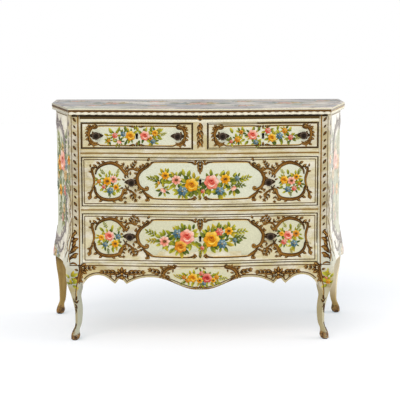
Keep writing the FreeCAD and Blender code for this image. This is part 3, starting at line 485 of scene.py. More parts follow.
class Strokes:
    """Closed low-relief strokes of paint gathered into one piece."""
    def __init__(self, name, surface, body, material, seed=1):
        self.name, self.surface, self.body, self.material = name, surface, body, material
        self.points, self.faces, self.pigment, self.uv, self.cell = [], [], [], [], []
        self.count = 0
        self.base = 0.0
        self.flat = 1.0
        self.clear = ()          # places kept free of strokes: x, z from, z to, half width
        self.random = random.Random(seed)

    def ribbon(self, path, width, colours, lift=0.3, height=0.5, edge=0.25, across=4, shape=None, light=0.0):
        """A domed stroke along path. shape(t) scales its width; colours run from its root to its tip."""
        n = len(path)
        if n < 2:
            return
        if any(abs(x - cx) < reach and low < y < high for x, y in path for cx, low, high, reach in self.clear):
            return
        shape = shape or (lambda t: 1.0)
        first = len(self.points)
        self.surface.settle(path[0], path[n // 2], path[-1])
        for i, (x, y) in enumerate(path):
            t = i / (n - 1)
            along = heading(path, i)
            nx, ny = -math.sin(along), math.cos(along)
            half = 0.5 * width * max(shape(t), 0.04)
            base = mix(colours[0], colours[1], t) if len(colours) == 2 else (
                mix(colours[0], colours[1], 2 * t) if t < 0.5 else mix(colours[1], colours[2], 2 * t - 1))
            swell = min(1.0, 4 * half / width + 0.15)
            for j in range(across + 1):
                s = 2 * j / across - 1
                rise = SINK if j in (0, across) else self.flat * (self.base + lift + height * swell * (1 - s * s))
                self.points.append(self.surface.at(x + nx * half * s, y + ny * half * s, rise))
                shade = 1 - edge * s * s + light * s
                self.pigment.append(tuple(max(0.0, c * shade) for c in base))
                self.uv.append((0.08 + 0.84 * t, 0.08 + 0.84 * j / across))
                self.cell.append(self.count)
        step = across + 1
        for i in range(n - 1):
            a, b = first + i * step, first + (i + 1) * step
            self.faces += [(a + j, b + j, b + j + 1, a + j + 1) for j in range(across)]
            self.faces.append((a + across, b + across, b, a))
        self.faces.append(tuple(first + j for j in range(step)))
        last = first + (n - 1) * step
        self.faces.append(tuple(last + j for j in reversed(range(step))))
        self.count += 1

    def petal(self, x, y, angle, length, width, colours, lift=0.3, height=0.5, bend=0.0, edge=0.2, blunt=0.6,
              steps=6, light=0.0):
        """A stroke from (x, y) towards angle, in radians, that swells and closes; a high blunt sets its fullness near its tip."""
        self.ribbon(swept_path(x, y, angle, length, bend, steps), width, colours, lift, height, edge, 4,
                    lambda t: math.sin(math.pi * min(1.0, t ** blunt * 0.96 + 0.03)) ** 0.7, light)

    def dot(self, x, y, radius, colour, lift=0.3, height=0.6, edge=0.3):
        path = [(x + radius * c, y) for c in (-1, -0.8, -0.4, 0, 0.4, 0.8, 1)]
        self.ribbon(path, 2 * radius, (colour, colour), lift, height, edge, 4,
                    lambda t: math.sqrt(max(0.0, 1 - (2 * t - 1) ** 2)))

    def crescent(self, x, y, radius, start, end, width, colours, lift, height=0.5):
        path = arc(x, y, radius, radius, math.degrees(start), math.degrees(end), 8)
        self.ribbon(path, width, colours, lift, height, 0.2, 4, lambda t: math.sin(math.pi * (0.06 + 0.88 * t)) ** 0.7)

    def line(self, points, width, colour, lift=0.12, height=0.3, step=14.0, edge=0.25):
        self.ribbon(resampled(points, step), width, (colour, colour), lift, height, edge, 4)

    def patch(self, xs, low, high, colour, lift=0.06, rows=8, hole=None):
        """A thin coat of colour between the lines low(x) and high(x), left open at hole (x, z from, z to, half width)."""
        stops = [j / rows for j in range(rows + 1)]
        a = b = 2.0
        hx = hw = 0.0
        if hole:
            hx, below, above, hw = hole
            xs = sorted([x for x in xs if abs(x - hx) > hw + 1.5] + [hx - hw, hx + hw])
            tall = high(hx) - low(hx)
            a, b = (below - low(hx)) / tall, (above - low(hx)) / tall
            stops = sorted([s for s in stops if not a - 0.03 < s < b + 0.03] + [a, b])
        stops = [stops[0], 0.012, *stops[1:-1], 0.988, stops[-1]]
        xs = [xs[0], xs[0] + 1.2, *xs[1:-1], xs[-1] - 1.2, xs[-1]]
        count, columns = len(stops), len(xs)
        first = len(self.points)
        for layer in (0, 1):
            for x in xs:
                self.surface.settle((x, 0.5 * (low(x) + high(x))))
                for stop in stops:
                    y = low(x) + (high(x) - low(x)) * stop
                    rim = stop in (0.0, 1.0) or x in (xs[0], xs[-1])
                    self.points.append(self.surface.at(x, y, (SINK if rim else lift) if layer == 0 else 2 * SINK))
                    self.pigment.append(colour)
                    self.uv.append((0.08 + 0.84 * (x - xs[0]) / (xs[-1] - xs[0]), 0.08 + 0.84 * stop))
                    self.cell.append(self.count)
        under = columns * count
        edges = set()
        quads = []
        for i in range(columns - 1):
            for j in range(count - 1):
                if hole and abs(0.5 * (xs[i] + xs[i + 1]) - hx) < hw and a < 0.5 * (stops[j] + stops[j + 1]) < b:
                    continue
                quad = (i * count + j, (i + 1) * count + j, (i + 1) * count + j + 1, i * count + j + 1)
                quads.append(quad)
                edges |= set(zip(quad, quad[1:] + quad[:1]))
        for quad in quads:
            self.faces.append(tuple(first + q for q in quad))
            self.faces.append(tuple(first + under + q for q in reversed(quad)))
        for p, q in sorted(edges):
            if (q, p) not in edges:
                self.faces.append((first + q, first + p, first + under + p, first + under + q))
        self.count += 1

    def ring(self, outer, inner, colour, lift):
        """A thin flat rim between two outlines of the same number of points."""
        first, n = len(self.points), len(outer)
        self.surface.settle(outer[0])
        for outline, rise in ((outer, lift), (inner, lift), (inner, SINK), (outer, SINK)):
            for i, (x, y) in enumerate(outline):
                out_x, out_y = outer[i]
                skin = self.surface.at(out_x, out_y, rise)
                self.points.append(Vector((x * MM, skin.y, y * MM)))
                self.pigment.append(colour)
                self.uv.append((0.5 + 0.4 * math.cos(math.tau * i / n), 0.5 + 0.4 * math.sin(math.tau * i / n)))
                self.cell.append(self.count)
        for k in range(4):
            for i in range(n):
                a, b = first + k * n + i, first + k * n + (i + 1) % n
                c, d = first + (k + 1) % 4 * n + (i + 1) % n, first + (k + 1) % 4 * n + i
                self.faces.append((a, b, c, d))
        self.count += 1

    def make(self):
        mesh = bpy.data.meshes.new(self.name)
        mesh.from_pydata(self.points, [], self.faces)
        work = bmesh.new()
        work.from_mesh(mesh)
        bmesh.ops.recalc_face_normals(work, faces=work.faces)
        work.to_mesh(mesh)
        work.free()
        for p in mesh.polygons:
            p.use_smooth = True
        pigment = mesh.color_attributes.new("Pigment", "FLOAT_COLOR", "POINT")
        pigment.data.foreach_set("color", [c for rgb in self.pigment for c in (*rgb, 1.0)])
        side = math.ceil(math.sqrt(max(self.count, 1)))
        layer = mesh.uv_layers.new(name="OFBake")
        for loop in mesh.loops:
            i = loop.vertex_index
            u, v = self.uv[i]
            row, column = divmod(self.cell[i], side)
            layer.data[loop.index].uv = ((column + u) / side, (row + v) / side)
        made = bpy.data.objects.new(self.name, mesh)
        bpy.context.scene.collection.objects.link(made)
        mesh.materials.append(self.material)
        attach(made, self.body)
        return made


def arc(x, y, rx, ry, start, end, count=10):
    """Points on an oval arc, angles in degrees."""
    found = []
    for i in range(count + 1):
        a = math.radians(start + (end - start) * i / count)
        found.append((x + rx * math.cos(a), y + ry * math.sin(a)))
    return found


# ---- flowers ----
ROSE_PINK = (tone(168, 34, 28), tone(230, 92, 70), tone(242, 160, 132), tone(250, 218, 198))
DAISY_PINK = (tone(150, 40, 34), tone(236, 136, 110), tone(244, 184, 160), tone(250, 224, 206))
ROSE_RED = (tone(120, 16, 22), tone(196, 44, 44), tone(226, 100, 84), tone(242, 168, 148))
ROSE_YELLOW = (tone(150, 66, 0), tone(214, 132, 2), tone(238, 174, 20), tone(250, 214, 92))
ROSE_ORANGE = (tone(140, 60, 4), tone(206, 116, 14), tone(228, 156, 40), tone(242, 196, 86))
BLUES = (tone(22, 46, 56), tone(70, 110, 124), tone(128, 162, 170), tone(190, 206, 206))
LEAVES = ((tone(84, 92, 8), tone(176, 174, 42)), (tone(112, 116, 14), tone(212, 202, 66)),
          (tone(62, 74, 18), tone(138, 146, 50)), (tone(124, 112, 18), tone(212, 186, 54)),
          (tone(42, 58, 18), tone(96, 116, 38)))
FADED_ROSE = (tone(164, 112, 100), tone(206, 146, 130), tone(220, 180, 160), tone(226, 204, 188))
FADED_GOLD = (tone(150, 116, 70), tone(196, 158, 100), tone(208, 180, 132), tone(220, 202, 160))
FADED_BLUE = (tone(96, 110, 120), tone(132, 148, 158), tone(164, 176, 180), tone(190, 198, 198))
FADED_LEAVES = ((tone(112, 116, 84), tone(154, 158, 116)), (tone(96, 108, 88), tone(138, 152, 126)))


def rose(p, x, y, r, pal, turn=0.3):
    """A full-blown rose, lit from its upper right: two rings of broad petals round a cupped heart."""
    deep, mid, light, pale = pal
    for ring, (count, length, width, root) in enumerate(((6, 0.94, 1.08, mid), (5, 0.74, 0.92, deep))):
        for i in range(count):
            a = turn + 0.5 * ring + i * math.tau / count
            lit = 0.5 + 0.5 * math.cos(a - 0.8)
            tip = mix(mix(mid, light, 0.5), pale if lit > 0.6 else light, lit)
            p.petal(x + 0.06 * r * math.cos(a), y + 0.06 * r * math.sin(a), a, length * r, width * r,
                    (root, mix(root, tip, 0.45), tip), 0.3 + 0.30 * ring + 0.03 * i, 0.5, p.random.uniform(-0.25, 0.25),
                    0.34, 1.45)
    p.dot(x, y + 0.05 * r, 0.50 * r, mix(deep, mid, 0.5), 1.1, 0.5, 0.25)
    for j, (a, length) in enumerate(((math.pi * 0.95, 2.1), (-0.55, 2.0), (math.pi * 0.25, 1.6))):
        p.crescent(x, y + 0.06 * r, 0.40 * r, a, a + length, 0.30 * r, (mid, light, mid), 1.35 + 0.1 * j, 0.5)
    p.crescent(x, y - 0.02 * r, 0.50 * r, math.pi * 1.08, math.pi * 1.92, 0.30 * r, (light, pale, light), 1.6, 0.5)
    p.dot(x, y + 0.16 * r, 0.22 * r, deep, 1.9, 0.3, 0.1)
    p.crescent(x, y + 0.18 * r, 0.18 * r, math.pi * 0.9, math.pi * 2.05, 0.12 * r, (mid, light), 2.15, 0.25)


def daisy(p, x, y, r, pal, turn=0.2, petals=7):
    """An open flower: rounded petals, dark at the root, round an olive eye."""
    deep, mid, light, pale = pal
    for i in range(petals):
        a = turn + i * math.tau / petals
        lit = 0.5 + 0.5 * math.cos(a - 0.8)
        p.petal(x + 0.1 * r * math.cos(a), y + 0.1 * r * math.sin(a), a, 0.92 * r, 0.82 * r,
                (deep, mix(mid, light, lit), mix(light, pale, lit)), 0.3 + 0.14 * (i % 2), 0.5,
                p.random.uniform(-0.2, 0.2), 0.36, 1.3)
    p.dot(x, y, 0.38 * r, mix(deep, SHADE_AND_GRIME_BROWN, 0.65), 0.95, 0.5, 0.2)
    p.dot(x, y, 0.15 * r, tone(110, 90, 30), 1.4, 0.3, 0.2)
    for i in range(6):
        a = turn + i * math.tau / 6
        p.dot(x + 0.29 * r * math.cos(a), y + 0.29 * r * math.sin(a), 0.06 * r, tone(226, 188, 80), 1.4, 0.2)


def bloom(p, x, y, r, pal, turn=0.0):
    """A soft cluster: two rings of rounded petals."""
    deep, mid, light, pale = pal
    for ring, (count, start, length, width) in enumerate(((6, 0.1, 0.92, 0.86), (5, 0.02, 0.62, 0.62))):
        for i in range(count):
            a = turn + 0.6 * ring + i * math.tau / count
            lit = 0.5 + 0.5 * math.cos(a - 0.8)
            tip = mix(mid, light if ring == 0 else pale, lit)
            p.petal(x + start * r * math.cos(a), y + start * r * math.sin(a), a, length * r, width * r,
                    (deep, mix(deep, tip, 0.6), tip), 0.3 + 0.3 * ring + 0.05 * (i % 2), 0.45, 0.0, 0.3, 1.3, 5)
    p.dot(x, y, 0.15 * r, tone(206, 178, 84), 1.3, 0.3)


def bell(p, x, y, r, pal, angle=-1.2):
    """A half-open flower seen from the side, nodding towards angle."""
    deep, mid, light, pale = pal
    x, y = x - 0.55 * r * math.cos(angle), y - 0.55 * r * math.sin(angle)
    for i, off in enumerate((-0.66, 0.66, -0.32, 0.32, 0.0)):
        p.petal(x, y, angle + off, 1.4 * r, 0.72 * r, (deep, mid if i % 2 else light, pale if i > 2 else light),
                0.3 + 0.16 * i, 0.4, -0.5 * off, 0.3, 1.2)
    p.petal(x, y, angle + math.pi, 0.7 * r, 0.5 * r, LEAVES[2], 1.1, 0.3)
    for off in (-0.7, 0.7):
        p.petal(x, y, angle + off, 0.55 * r, 0.3 * r, LEAVES[0], 1.2, 0.3)


def leaf(p, x, y, angle, length, pal=None, plump=0.6):
    """A leaf with a light half, a dark half and a vein."""
    pal = pal or p.random.choice(LEAVES)
    bend = p.random.uniform(-0.4, 0.4)
    light = p.random.choice((-0.32, 0.32))
    p.petal(x, y, angle, length, plump * length, pal, 0.16, 0.4, bend, 0.35, 0.85, 6, light)
    p.petal(x, y, angle, 0.86 * length, 0.08 * length, (pal[0], mix(pal[0], pal[1], 0.3)), 0.62, 0.12, bend, 0.0, 0.6)


def sprig(p, x, y, angle, length, leaves=6, pal=None, size=0.40):
    """A thin stem with leaves on both sides and one at its tip."""
    bend = p.random.uniform(-0.3, 0.3)
    path = swept_path(x, y, angle, length, bend, 8)
    stem = (pal or LEAVES[0])[0]
    p.ribbon(path, 1.2, (stem, stem), 0.14, 0.2, 0.1, 2)
    for i in range(leaves):
        t = 0.25 + 0.75 * i / max(1, leaves - 1)
        at = path[round(8 * t)]
        off = 0 if i == leaves - 1 else (0.8 if i % 2 else -0.8)
        leaf(p, at[0], at[1], angle + bend * t + off, size * length * (1.05 - 0.3 * t), pal, 0.56)


KINDS = {"rose": rose, "daisy": daisy, "bloom": bloom, "bell": bell}
PALETTES = {"salmon": DAISY_PINK, "pink": ROSE_PINK, "red": ROSE_RED, "yellow": ROSE_YELLOW, "orange": ROSE_ORANGE, "blue": BLUES,
            "faded_rose": FADED_ROSE, "faded_gold": FADED_GOLD, "faded_blue": FADED_BLUE}


def bunch(p, items, leaf_size=17.0, dense=1.0, greens=LEAVES):
    """Flowers with leaves spreading from behind them. Items: kind, colour, x, z, size, and an angle in degrees."""
    blossoms = [i for i in items if i[0] in KINDS]
    p.base = 0.0
    for kind, colour, x, z, size, *more in blossoms:
        count = round((3 + size / 4.5) * dense)
        start = p.random.uniform(0, math.tau)
        for k in range(count):
            a = start + k * math.tau / count + p.random.uniform(-0.3, 0.3)
            tip_x, tip_z = x + (size + 0.7 * leaf_size) * math.cos(a), z + (size + 0.7 * leaf_size) * math.sin(a)
            if any(math.dist((tip_x, tip_z), (f[2], f[3])) < 0.75 * f[4] for f in blossoms):
                continue
            length = leaf_size * p.random.uniform(0.8, 1.3) * (0.75 + size / 60)
            leaf(p, x + 0.72 * size * math.cos(a), z + 0.72 * size * math.sin(a), a + p.random.uniform(-0.4, 0.4), length,
                 p.random.choice(greens))
            p.base += 0.006
    for kind, colour, x, z, size, *more in items:
        angle = math.radians(more[0] if more else p.random.uniform(0, 70))
        if kind in KINDS:
            KINDS[kind](p, x, z, size, PALETTES[colour], angle)
            p.base += 0.11
        elif kind == "leaf":
            leaf(p, x, z, angle, size, greens[colour % len(greens)] if isinstance(colour, int) else p.random.choice(greens))
            p.base += 0.01
        else:
            sprig(p, x, z, angle, size, 7, greens[colour % len(greens)] if isinstance(colour, int) else None)
            p.base += 0.01
    p.base = 0.0


# ---- gilding ----
def gilt_leaf(p, x, y, angle, length, plump=0.6, bend=0.0, lift=0.3):
    """A small gilded leaf, dark at its root and rim, with a lit ridge."""
    p.petal(x, y, angle, length, plump * length, (GOLD_DEEP, GOLD_DARK, GOLD), lift, 0.8, bend, 0.5, 0.9, 5)
    p.petal(x + 0.25 * length * math.cos(angle), y + 0.25 * length * math.sin(angle), angle + 0.4 * bend, 0.6 * length,
            0.2 * plump * length + 0.4, (GOLD, GOLD_LIGHT), lift + 0.85, 0.25, bend, 0.1, 0.9, 4)


def foliate(p, x, y, angle, length, pairs=3, size=0.36, bend=0.0, spread=0.85, plump=0.6):
    """A gilded stem with paired leaves and a leaf at its tip."""
    path = swept_path(x, y, angle, length, bend, 10)
    p.ribbon(path, 1.8, (GOLD_DEEP, GOLD_DARK), 0.25, 0.4, 0.2, 2)
    for i in range(pairs):
        t = 0.15 + 0.65 * i / max(1, pairs - 1)
        at = path[round(10 * t)]
        for side in (-1, 1):
            gilt_leaf(p, *at, angle + bend * t + side * spread, size * length * (1.1 - 0.4 * t), plump, -0.4 * side,
                      0.3 + 0.04 * i)
    gilt_leaf(p, *path[-3], angle + bend, size * length * 0.9, plump, 0, 0.45)


def scroll(p, points, width, fringe=0, curl=(0, 0), radius=5.0, tip=0.4, every=1.0):
    """A moulded C-scroll with a lit ridge; fringe 1 or -1 sets rounded lobes along its left or right side."""
    line = list(points)
    if curl[1]:
        line = curled(line, radius, curl[1])
    if curl[0]:
        line = curled(line, radius, -curl[0], True)
    path = resampled(line, 3.2)
    body = lambda t: tip + (1 - tip) * math.sin(math.pi * t) ** 0.8
    if fringe:
        gap = max(1, round(0.62 * width * every / 3.2))
        for i in range(gap, len(path) - gap, gap):
            a, t = heading(path, i), i / (len(path) - 1)
            size = width * (0.35 + 0.55 * body(t)) * p.random.uniform(0.85, 1.2)
            nx, ny = math.cos(a + fringe * math.pi / 2), math.sin(a + fringe * math.pi / 2)
            gilt_leaf(p, path[i][0] + nx * 0.30 * width * body(t), path[i][1] + ny * 0.30 * width * body(t),
                      a + fringe * 0.5, 1.25 * size, 0.6, fringe * 0.4, 0.2)
    p.ribbon(path, 1.06 * width, (GOLD_DEEP, mix(GOLD_DARK, GOLD, 0.5), mix(GOLD, GOLD_LIGHT, 0.12), mix(GOLD_DARK, GOLD, 0.5), GOLD_DEEP), 0.5, 1.4,
             0.86, 6, body, 0.1)
    ridge = [(x - 0.12 * width * math.sin(heading(path, i)), y + 0.12 * width * math.cos(heading(path, i)))
             for i, (x, y) in enumerate(path)]
    dash = max(3, round(1.5 * width / 3.2))
    for i in range(1, len(ridge) - dash, dash + 1):
        p.ribbon(ridge[i:i + dash + 1], 0.26 * width, (GOLD, GOLD_LIGHT, mix(GOLD, GOLD_LIGHT, 0.4)), 1.72, 0.35, 0.05, 2,
                 lambda t: math.sin(math.pi * (0.1 + 0.85 * t)) ** 0.6)
    groove = [(x + 0.20 * width * math.sin(heading(path, i)), y - 0.22 * width * math.cos(heading(path, i)))
              for i, (x, y) in enumerate(path)]
    p.ribbon(groove[2:-2], 0.15 * width, (GOLD_DEEP, GOLD_DEEP), 1.5, 0.25, 0.1, 2, body)
    for wanted, spot in ((curl[1], path[-1]), (curl[0], path[0])):
        if wanted:
            p.dot(*spot, 0.34 * width, GOLD_DARK, 0.9, 1.1, 0.4)
            p.dot(*spot, 0.16 * width, GOLD_LIGHT, 1.9, 0.3)


def gold_line(p, points, width=3.6, side=1):
    """A ruled gold line: a dark stroke with a lit one along one side."""
    path = resampled(points, 8)
    p.ribbon(path, width, (GOLD_DARK, GOLD_DARK), 0.3, 0.6, 0.3)
    beside = [(x - side * 0.62 * width * math.sin(heading(path, i)), y + side * 0.62 * width * math.cos(heading(path, i)))
              for i, (x, y) in enumerate(path)]
    p.ribbon(beside, 0.5 * width, (GOLD_LIGHT, GOLD_LIGHT), 0.25, 0.4, 0.2)


# ---- the shapes that the layout repeats, in mm ----
def ease(t):
    t = min(1.0, max(0.0, t))
    return t * t * (3 - 2 * t)


ROWS = {"top_left": (719, 817), "top_right": (719, 817), "middle": (505.5, 690), "bottom": (296.5, 479.5)}
SPANS = {"top_left": (-437, -25), "top_right": (25, 437), "middle": (-437, 437), "bottom": (-437, 437)}
KNOBS = {"top_left": ((-380, 768), (-82, 768)), "top_right": ((82, 768), (380, 768)),
         "middle": ((-252, 596.75), (252, 596.75)), "bottom": ((-260, 395), (260, 395))}
KEYHOLES = {"top_left": (-231, 772), "top_right": (231, 772), "middle": (0, 604.75), "bottom": (0, 394)}
SURFACES = {d: front_of(f"{d}_drawer_front") for d in DRAWERS}
for d in DRAWERS:
    SURFACES[d].jump = 0.004


def between(a, b, count):
    return [a + (b - a) * i / count for i in range(count + 1)]


def keyhole_outline(x, z, radius, slot, length):
    """A round head over a slot, counted round from the right of the slot's head."""
    start = math.degrees(math.asin(slot / radius))
    head = arc(x, z, radius, radius, -90 + start, 270 - start, 16)
    return head + [(x - slot, z - length), (x, z - length), (x + slot, z - length)]


def drawer_ground(d, inset, colour, top, bottom, left, right):
    """The pale field and the ruled lines of one drawer."""
    lo, hi = ROWS[d]
    start, end = SPANS[d]
    coat = Strokes(f"{d}_drawer_field", SURFACES[d], f"{d}_drawer", PAINT, 5)
    lines = Strokes(f"{d}_drawer_lines", SURFACES[d], f"{d}_drawer", PAINT, 6)
    # a dark painted edge along each side of the drawer, widened as painted shade of the gap beside it
    for z in (lo + 2.1, hi - 2.1):
        lines.line([(start + 1, z), (end - 1, z)], 4.2, EDGE_BROWN)
    for x in (start + 2.6, end - 2.6):
        lines.line([(x, lo + 1), (x, hi - 1)], 5.2, EDGE_BROWN, lift=0.14)
    for z in (lo + inset, hi - inset):
        lines.line([(start + inset, z), (end - inset, z)], 4.2, LINE_BROWN)
    for x in (start + inset, end - inset):
        lines.line([(x, lo + inset), (x, hi - inset)], 4.2, LINE_BROWN, lift=0.14)
    x, z = KEYHOLES[d]
    mid, tall = 0.5 * (top + bottom), 0.5 * (top - bottom)
    centre, half = 0.5 * (left + right), 0.5 * (right - left)

    def swell(u):
        return tall * (1 - 0.96 * min(1.0, abs((u - centre) / half)) ** 9)
    coat.patch(between(centre - half, centre + half, 40), lambda u: mid - swell(u), lambda u: mid + swell(u), colour,
               hole=(x, z - 12, z + 4.4, 4.6), rows=7)
    # painted shade: a near-black rim round the keyhole widens the dark of the hole and covers the field's stepped edge
    lines.ring(keyhole_outline(x, z, 5.2, 3.7, 15.0), keyhole_outline(x, z, 2.75, 1.2, 9.0), tone(8, 6, 4), 1.7)
    return coat, lines


def long_drawer(d, seed, top, bottom, left, right, flowers, roundels):
    """A cartouche of flowers in the middle, roundels of flowers at the ends, leafage round the knobs."""
    lo, hi = ROWS[d]
    pale = mix(FIELD, PALE, 0.15) if d == "middle" else mix(FIELD, CREAM, 0.4)
    coat, lines = drawer_ground(d, 10.5, pale, top, bottom, left + 2, right - 2)
    gilt = Strokes(f"{d}_drawer_gilding", SURFACES[d], f"{d}_drawer", GILDING, seed)
    blooms = Strokes(f"{d}_drawer_flowers", SURFACES[d], f"{d}_drawer", PAINT, seed + 1)
    hole_x, hole_z = KEYHOLES[d]
    blooms.clear = ((hole_x, hole_z - 15, hole_z + 6, 5.0),)
    mid, half_high = 0.5 * (top + bottom), 0.5 * (top - bottom)
    for s, end in ((-1, left), (1, right)):
        at = lambda a, b: (end - s * a, b)
        # ruled lines above and below, and the scrolls that close them
        gold_line(gilt, [(s * 24, top), (s * 70, top + 1), at(66, top), at(52, top - 3)], 5.6, -s)
        gold_line(gilt, [(s * 30, bottom), (s * 76, bottom - 1), at(66, bottom + 1), at(50, bottom + 5)], 5.2, s)
        scroll(gilt, [at(40, top - 17), at(26, top - 25), at(12, top - 36), at(2, top - 52), at(0, mid + 4), at(5, mid - 16),
                      at(16, mid - 29), at(32, mid - 35)], 13.5, fringe=0, curl=(s, -s), radius=7.5)
        scroll(gilt, [at(60, top - 1), at(52, top - 6), at(46, top - 16)], 7.0, tip=0.5)
        scroll(gilt, [at(20, mid - 32), at(27, mid - 46), at(40, bottom + 13), at(58, bottom + 2)], 11.5, fringe=0,
               curl=(0, 0), tip=0.55)
        scroll(gilt, [at(30, bottom + 20), at(36, bottom + 8), at(38, bottom - 2)], 8.0, curl=(0, s), radius=4.5, tip=0.55)
        for a, b, angle, size in ((30, top - 22, 130, 19), (16, top - 32, 150, 19), (4, top - 46, 165, 17), (0, mid + 8, 185, 15),
                                  (2, mid - 12, 200, 17), (14, mid - 28, 215, 18), (20, mid - 42, 200, 16)):
            gilt_leaf(gilt, *at(a, b), math.radians(angle if s < 0 else 180 - angle), size, 0.66)
        gilt_leaf(gilt, *at(38, top + 2), math.radians(90 + s * 35), 15, 0.7)
        gilt_leaf(gilt, *at(40, bottom + 6), math.radians(-90 - s * 10), 16, 0.7)
        gilt_leaf(gilt, *at(30, bottom + 16), math.radians(-90 - s * 40), 15, 0.7)
        scroll(gilt, [(s * 44, top - 1), (s * 30, top - 2), (s * 20, top - 8)], 7.0, curl=(0, -s), radius=4.2, tip=0.5)
        scroll(gilt, [(s * 46, bottom + 1), (s * 32, bottom + 2), (s * 20, bottom + 8)], 6.5, curl=(0, s), radius=4.0, tip=0.5)
        gilt_leaf(gilt, s * 12, bottom + 2, math.radians(90 - s * 50), 17, 0.6)
        gilt_leaf(gilt, s * 16, bottom - 1, math.radians(90 - s * 80), 18, 0.55)
        gilt_leaf(gilt, s * 10, top + 4, math.radians(-90 + s * 75), 14, 0.6)
    # leaf drop at the top, ornament at the bottom
    for z, size, lean in ((top + 4, 20, 0.5), (top - 8, 20, 0.45), (top - 20, 17, 0.4)):
        for s in (-1, 1):
            gilt_leaf(gilt, s * 2.0, z, -math.pi / 2 + s * lean, size, 0.62, -s * 0.3)
    gilt_leaf(gilt, 0, top - 22, -math.pi / 2, 24, 0.5)
    gilt_leaf(gilt, 0, bottom - 3, math.pi / 2, 20, 0.6)
    for s, spots in zip((-1, 1), roundels):
        kx, kz = KNOBS[d][0 if s < 0 else 1]
        rx, rz = (s * 332, kz + 2) if d == "middle" else (s * 335, kz - 4)
        rw = 56
        coat.patch(between(rx - rw, rx + rw, 16),
                   lambda u: rz - 66 * math.sqrt(max(0.0, 1 - ((u - rx) / rw) ** 2)) ** 0.6,
                   lambda u: rz + 66 * math.sqrt(max(0.0, 1 - ((u - rx) / rw) ** 2)) ** 0.6, pale, rows=6)
        # written for the left: negative is outwards
        out = lambda points, up=1: [(rx - s * a, rz + up * b) for a, b in points]
        scroll(gilt, out([(-52, 26), (-48, 43), (-30, 60), (2, 69), (30, 60), (47, 43), (58, 28)]), 14.0, fringe=0,
               curl=(0, -s), radius=6.0, tip=0.34)
        scroll(gilt, out([(-55, -25), (-52, -42), (-35, -61), (-7, -68), (27, -64), (44, -52), (50, -32)]), 13.5, fringe=0,
               curl=(s, s), radius=6.5, tip=0.38)
        scroll(gilt, out([(-66, 46), (-63, 29), (-58, 12), (-58, -6), (-64, -24)]), 10.0, fringe=0,
               curl=(-s, 0), radius=5.0, tip=0.55)
        scroll(gilt, out([(-56, -14), (-64, -30), (-72, -46), (-71, -58)]), 10.0, fringe=0, curl=(0, s), radius=5.5, tip=0.5)
        for a, b, angle, size in ((-46, 50, 140, 20), (-34, 64, 150, 18), (-16, 70, 165, 16), (18, 70, 15, 16), (36, 58, 350, 18),
                                  (-26, -66, 215, 18), (-44, -56, 205, 18), (8, -70, 330, 16), (30, -66, 340, 18),
                                  (52, -46, 20, 16), (-66, 34, 165, 13), (-70, 52, 100, 13), (-72, -40, 200, 13),
                                  (-74, -58, 250, 13), (50, 40, 10, 15)):
            gilt_leaf(gilt, rx - s * a, rz + b, math.radians(angle if s < 0 else 180 - angle), size, 0.66)
        # the sprays about the knob: written for the left, negative is towards the roundel
        near = lambda points: [(kx - s * a, kz + b) for a, b in points]
        turned_to = lambda angle: math.radians(angle if s < 0 else 180 - angle)
        scroll(gilt, near([(-12, 17), (-17, 33), (-9, 46), (6, 50), (18, 44)]), 8.5, curl=(0, -s), radius=4.6, tip=0.45)
        scroll(gilt, near([(-22, 24), (-16, 38), (-10, 52)]), 6.0, tip=0.5)
        scroll(gilt, near([(-24, -12), (-14, -26), (2, -36), (14, -46)]), 8.0, curl=(0, s), radius=4.8, tip=0.45)
        scroll(gilt, near([(-10, -16), (-20, -32), (-34, -48), (-40, -62)]), 8.5, curl=(0, -s), radius=4.8, tip=0.45)
        foliate(gilt, *near([(-2, 50)])[0], turned_to(62), 32, 3, 0.44, -0.3 * -s)
        foliate(gilt, *near([(-10, 46)])[0], turned_to(128), 30, 2, 0.46, 0.3 * -s)
        foliate(gilt, *near([(10, 44)])[0], turned_to(20), 30, 2, 0.44, 0.4 * -s)
        foliate(gilt, *near([(-6, -40)])[0], turned_to(-60), 38, 3, 0.38, 0.3 * -s)
        foliate(gilt, *near([(-26, -50)])[0], turned_to(-88), 26, 2, 0.46, 0.2 * -s)
        foliate(gilt, *near([(2, -50)])[0], turned_to(-22), 30, 2, 0.42, 0.4 * -s)
        if d == "bottom":
            foliate(gilt, *near([(14, -38)])[0], turned_to(-70), 32, 3, 0.4)
            foliate(gilt, *near([(16, 40)])[0], turned_to(66), 34, 3, 0.4)
        for a, b, angle, size in ((-24, 6, 150, 13), (-20, 14, 120, 14), (20, 20, 60, 14), (22, -18, -40, 14), (-30, -20, 200, 14),
                                  (-4, 26, 90, 15), (12, -24, -70, 15), (-2, -28, -110, 14)):
            gilt_leaf(gilt, kx - s * a, kz + b, turned_to(angle), size, 0.62)
        bunch(blooms, spots, 15, 1.25)
    bunch(blooms, flowers, 19, 1.45)
    for made in (coat, lines, gilt, blooms):
        made.make()


def small_bunch(x, z, items):
    return [(k, c, x + dx, z + dz, size, *more) for k, c, dx, dz, size, *more in items]


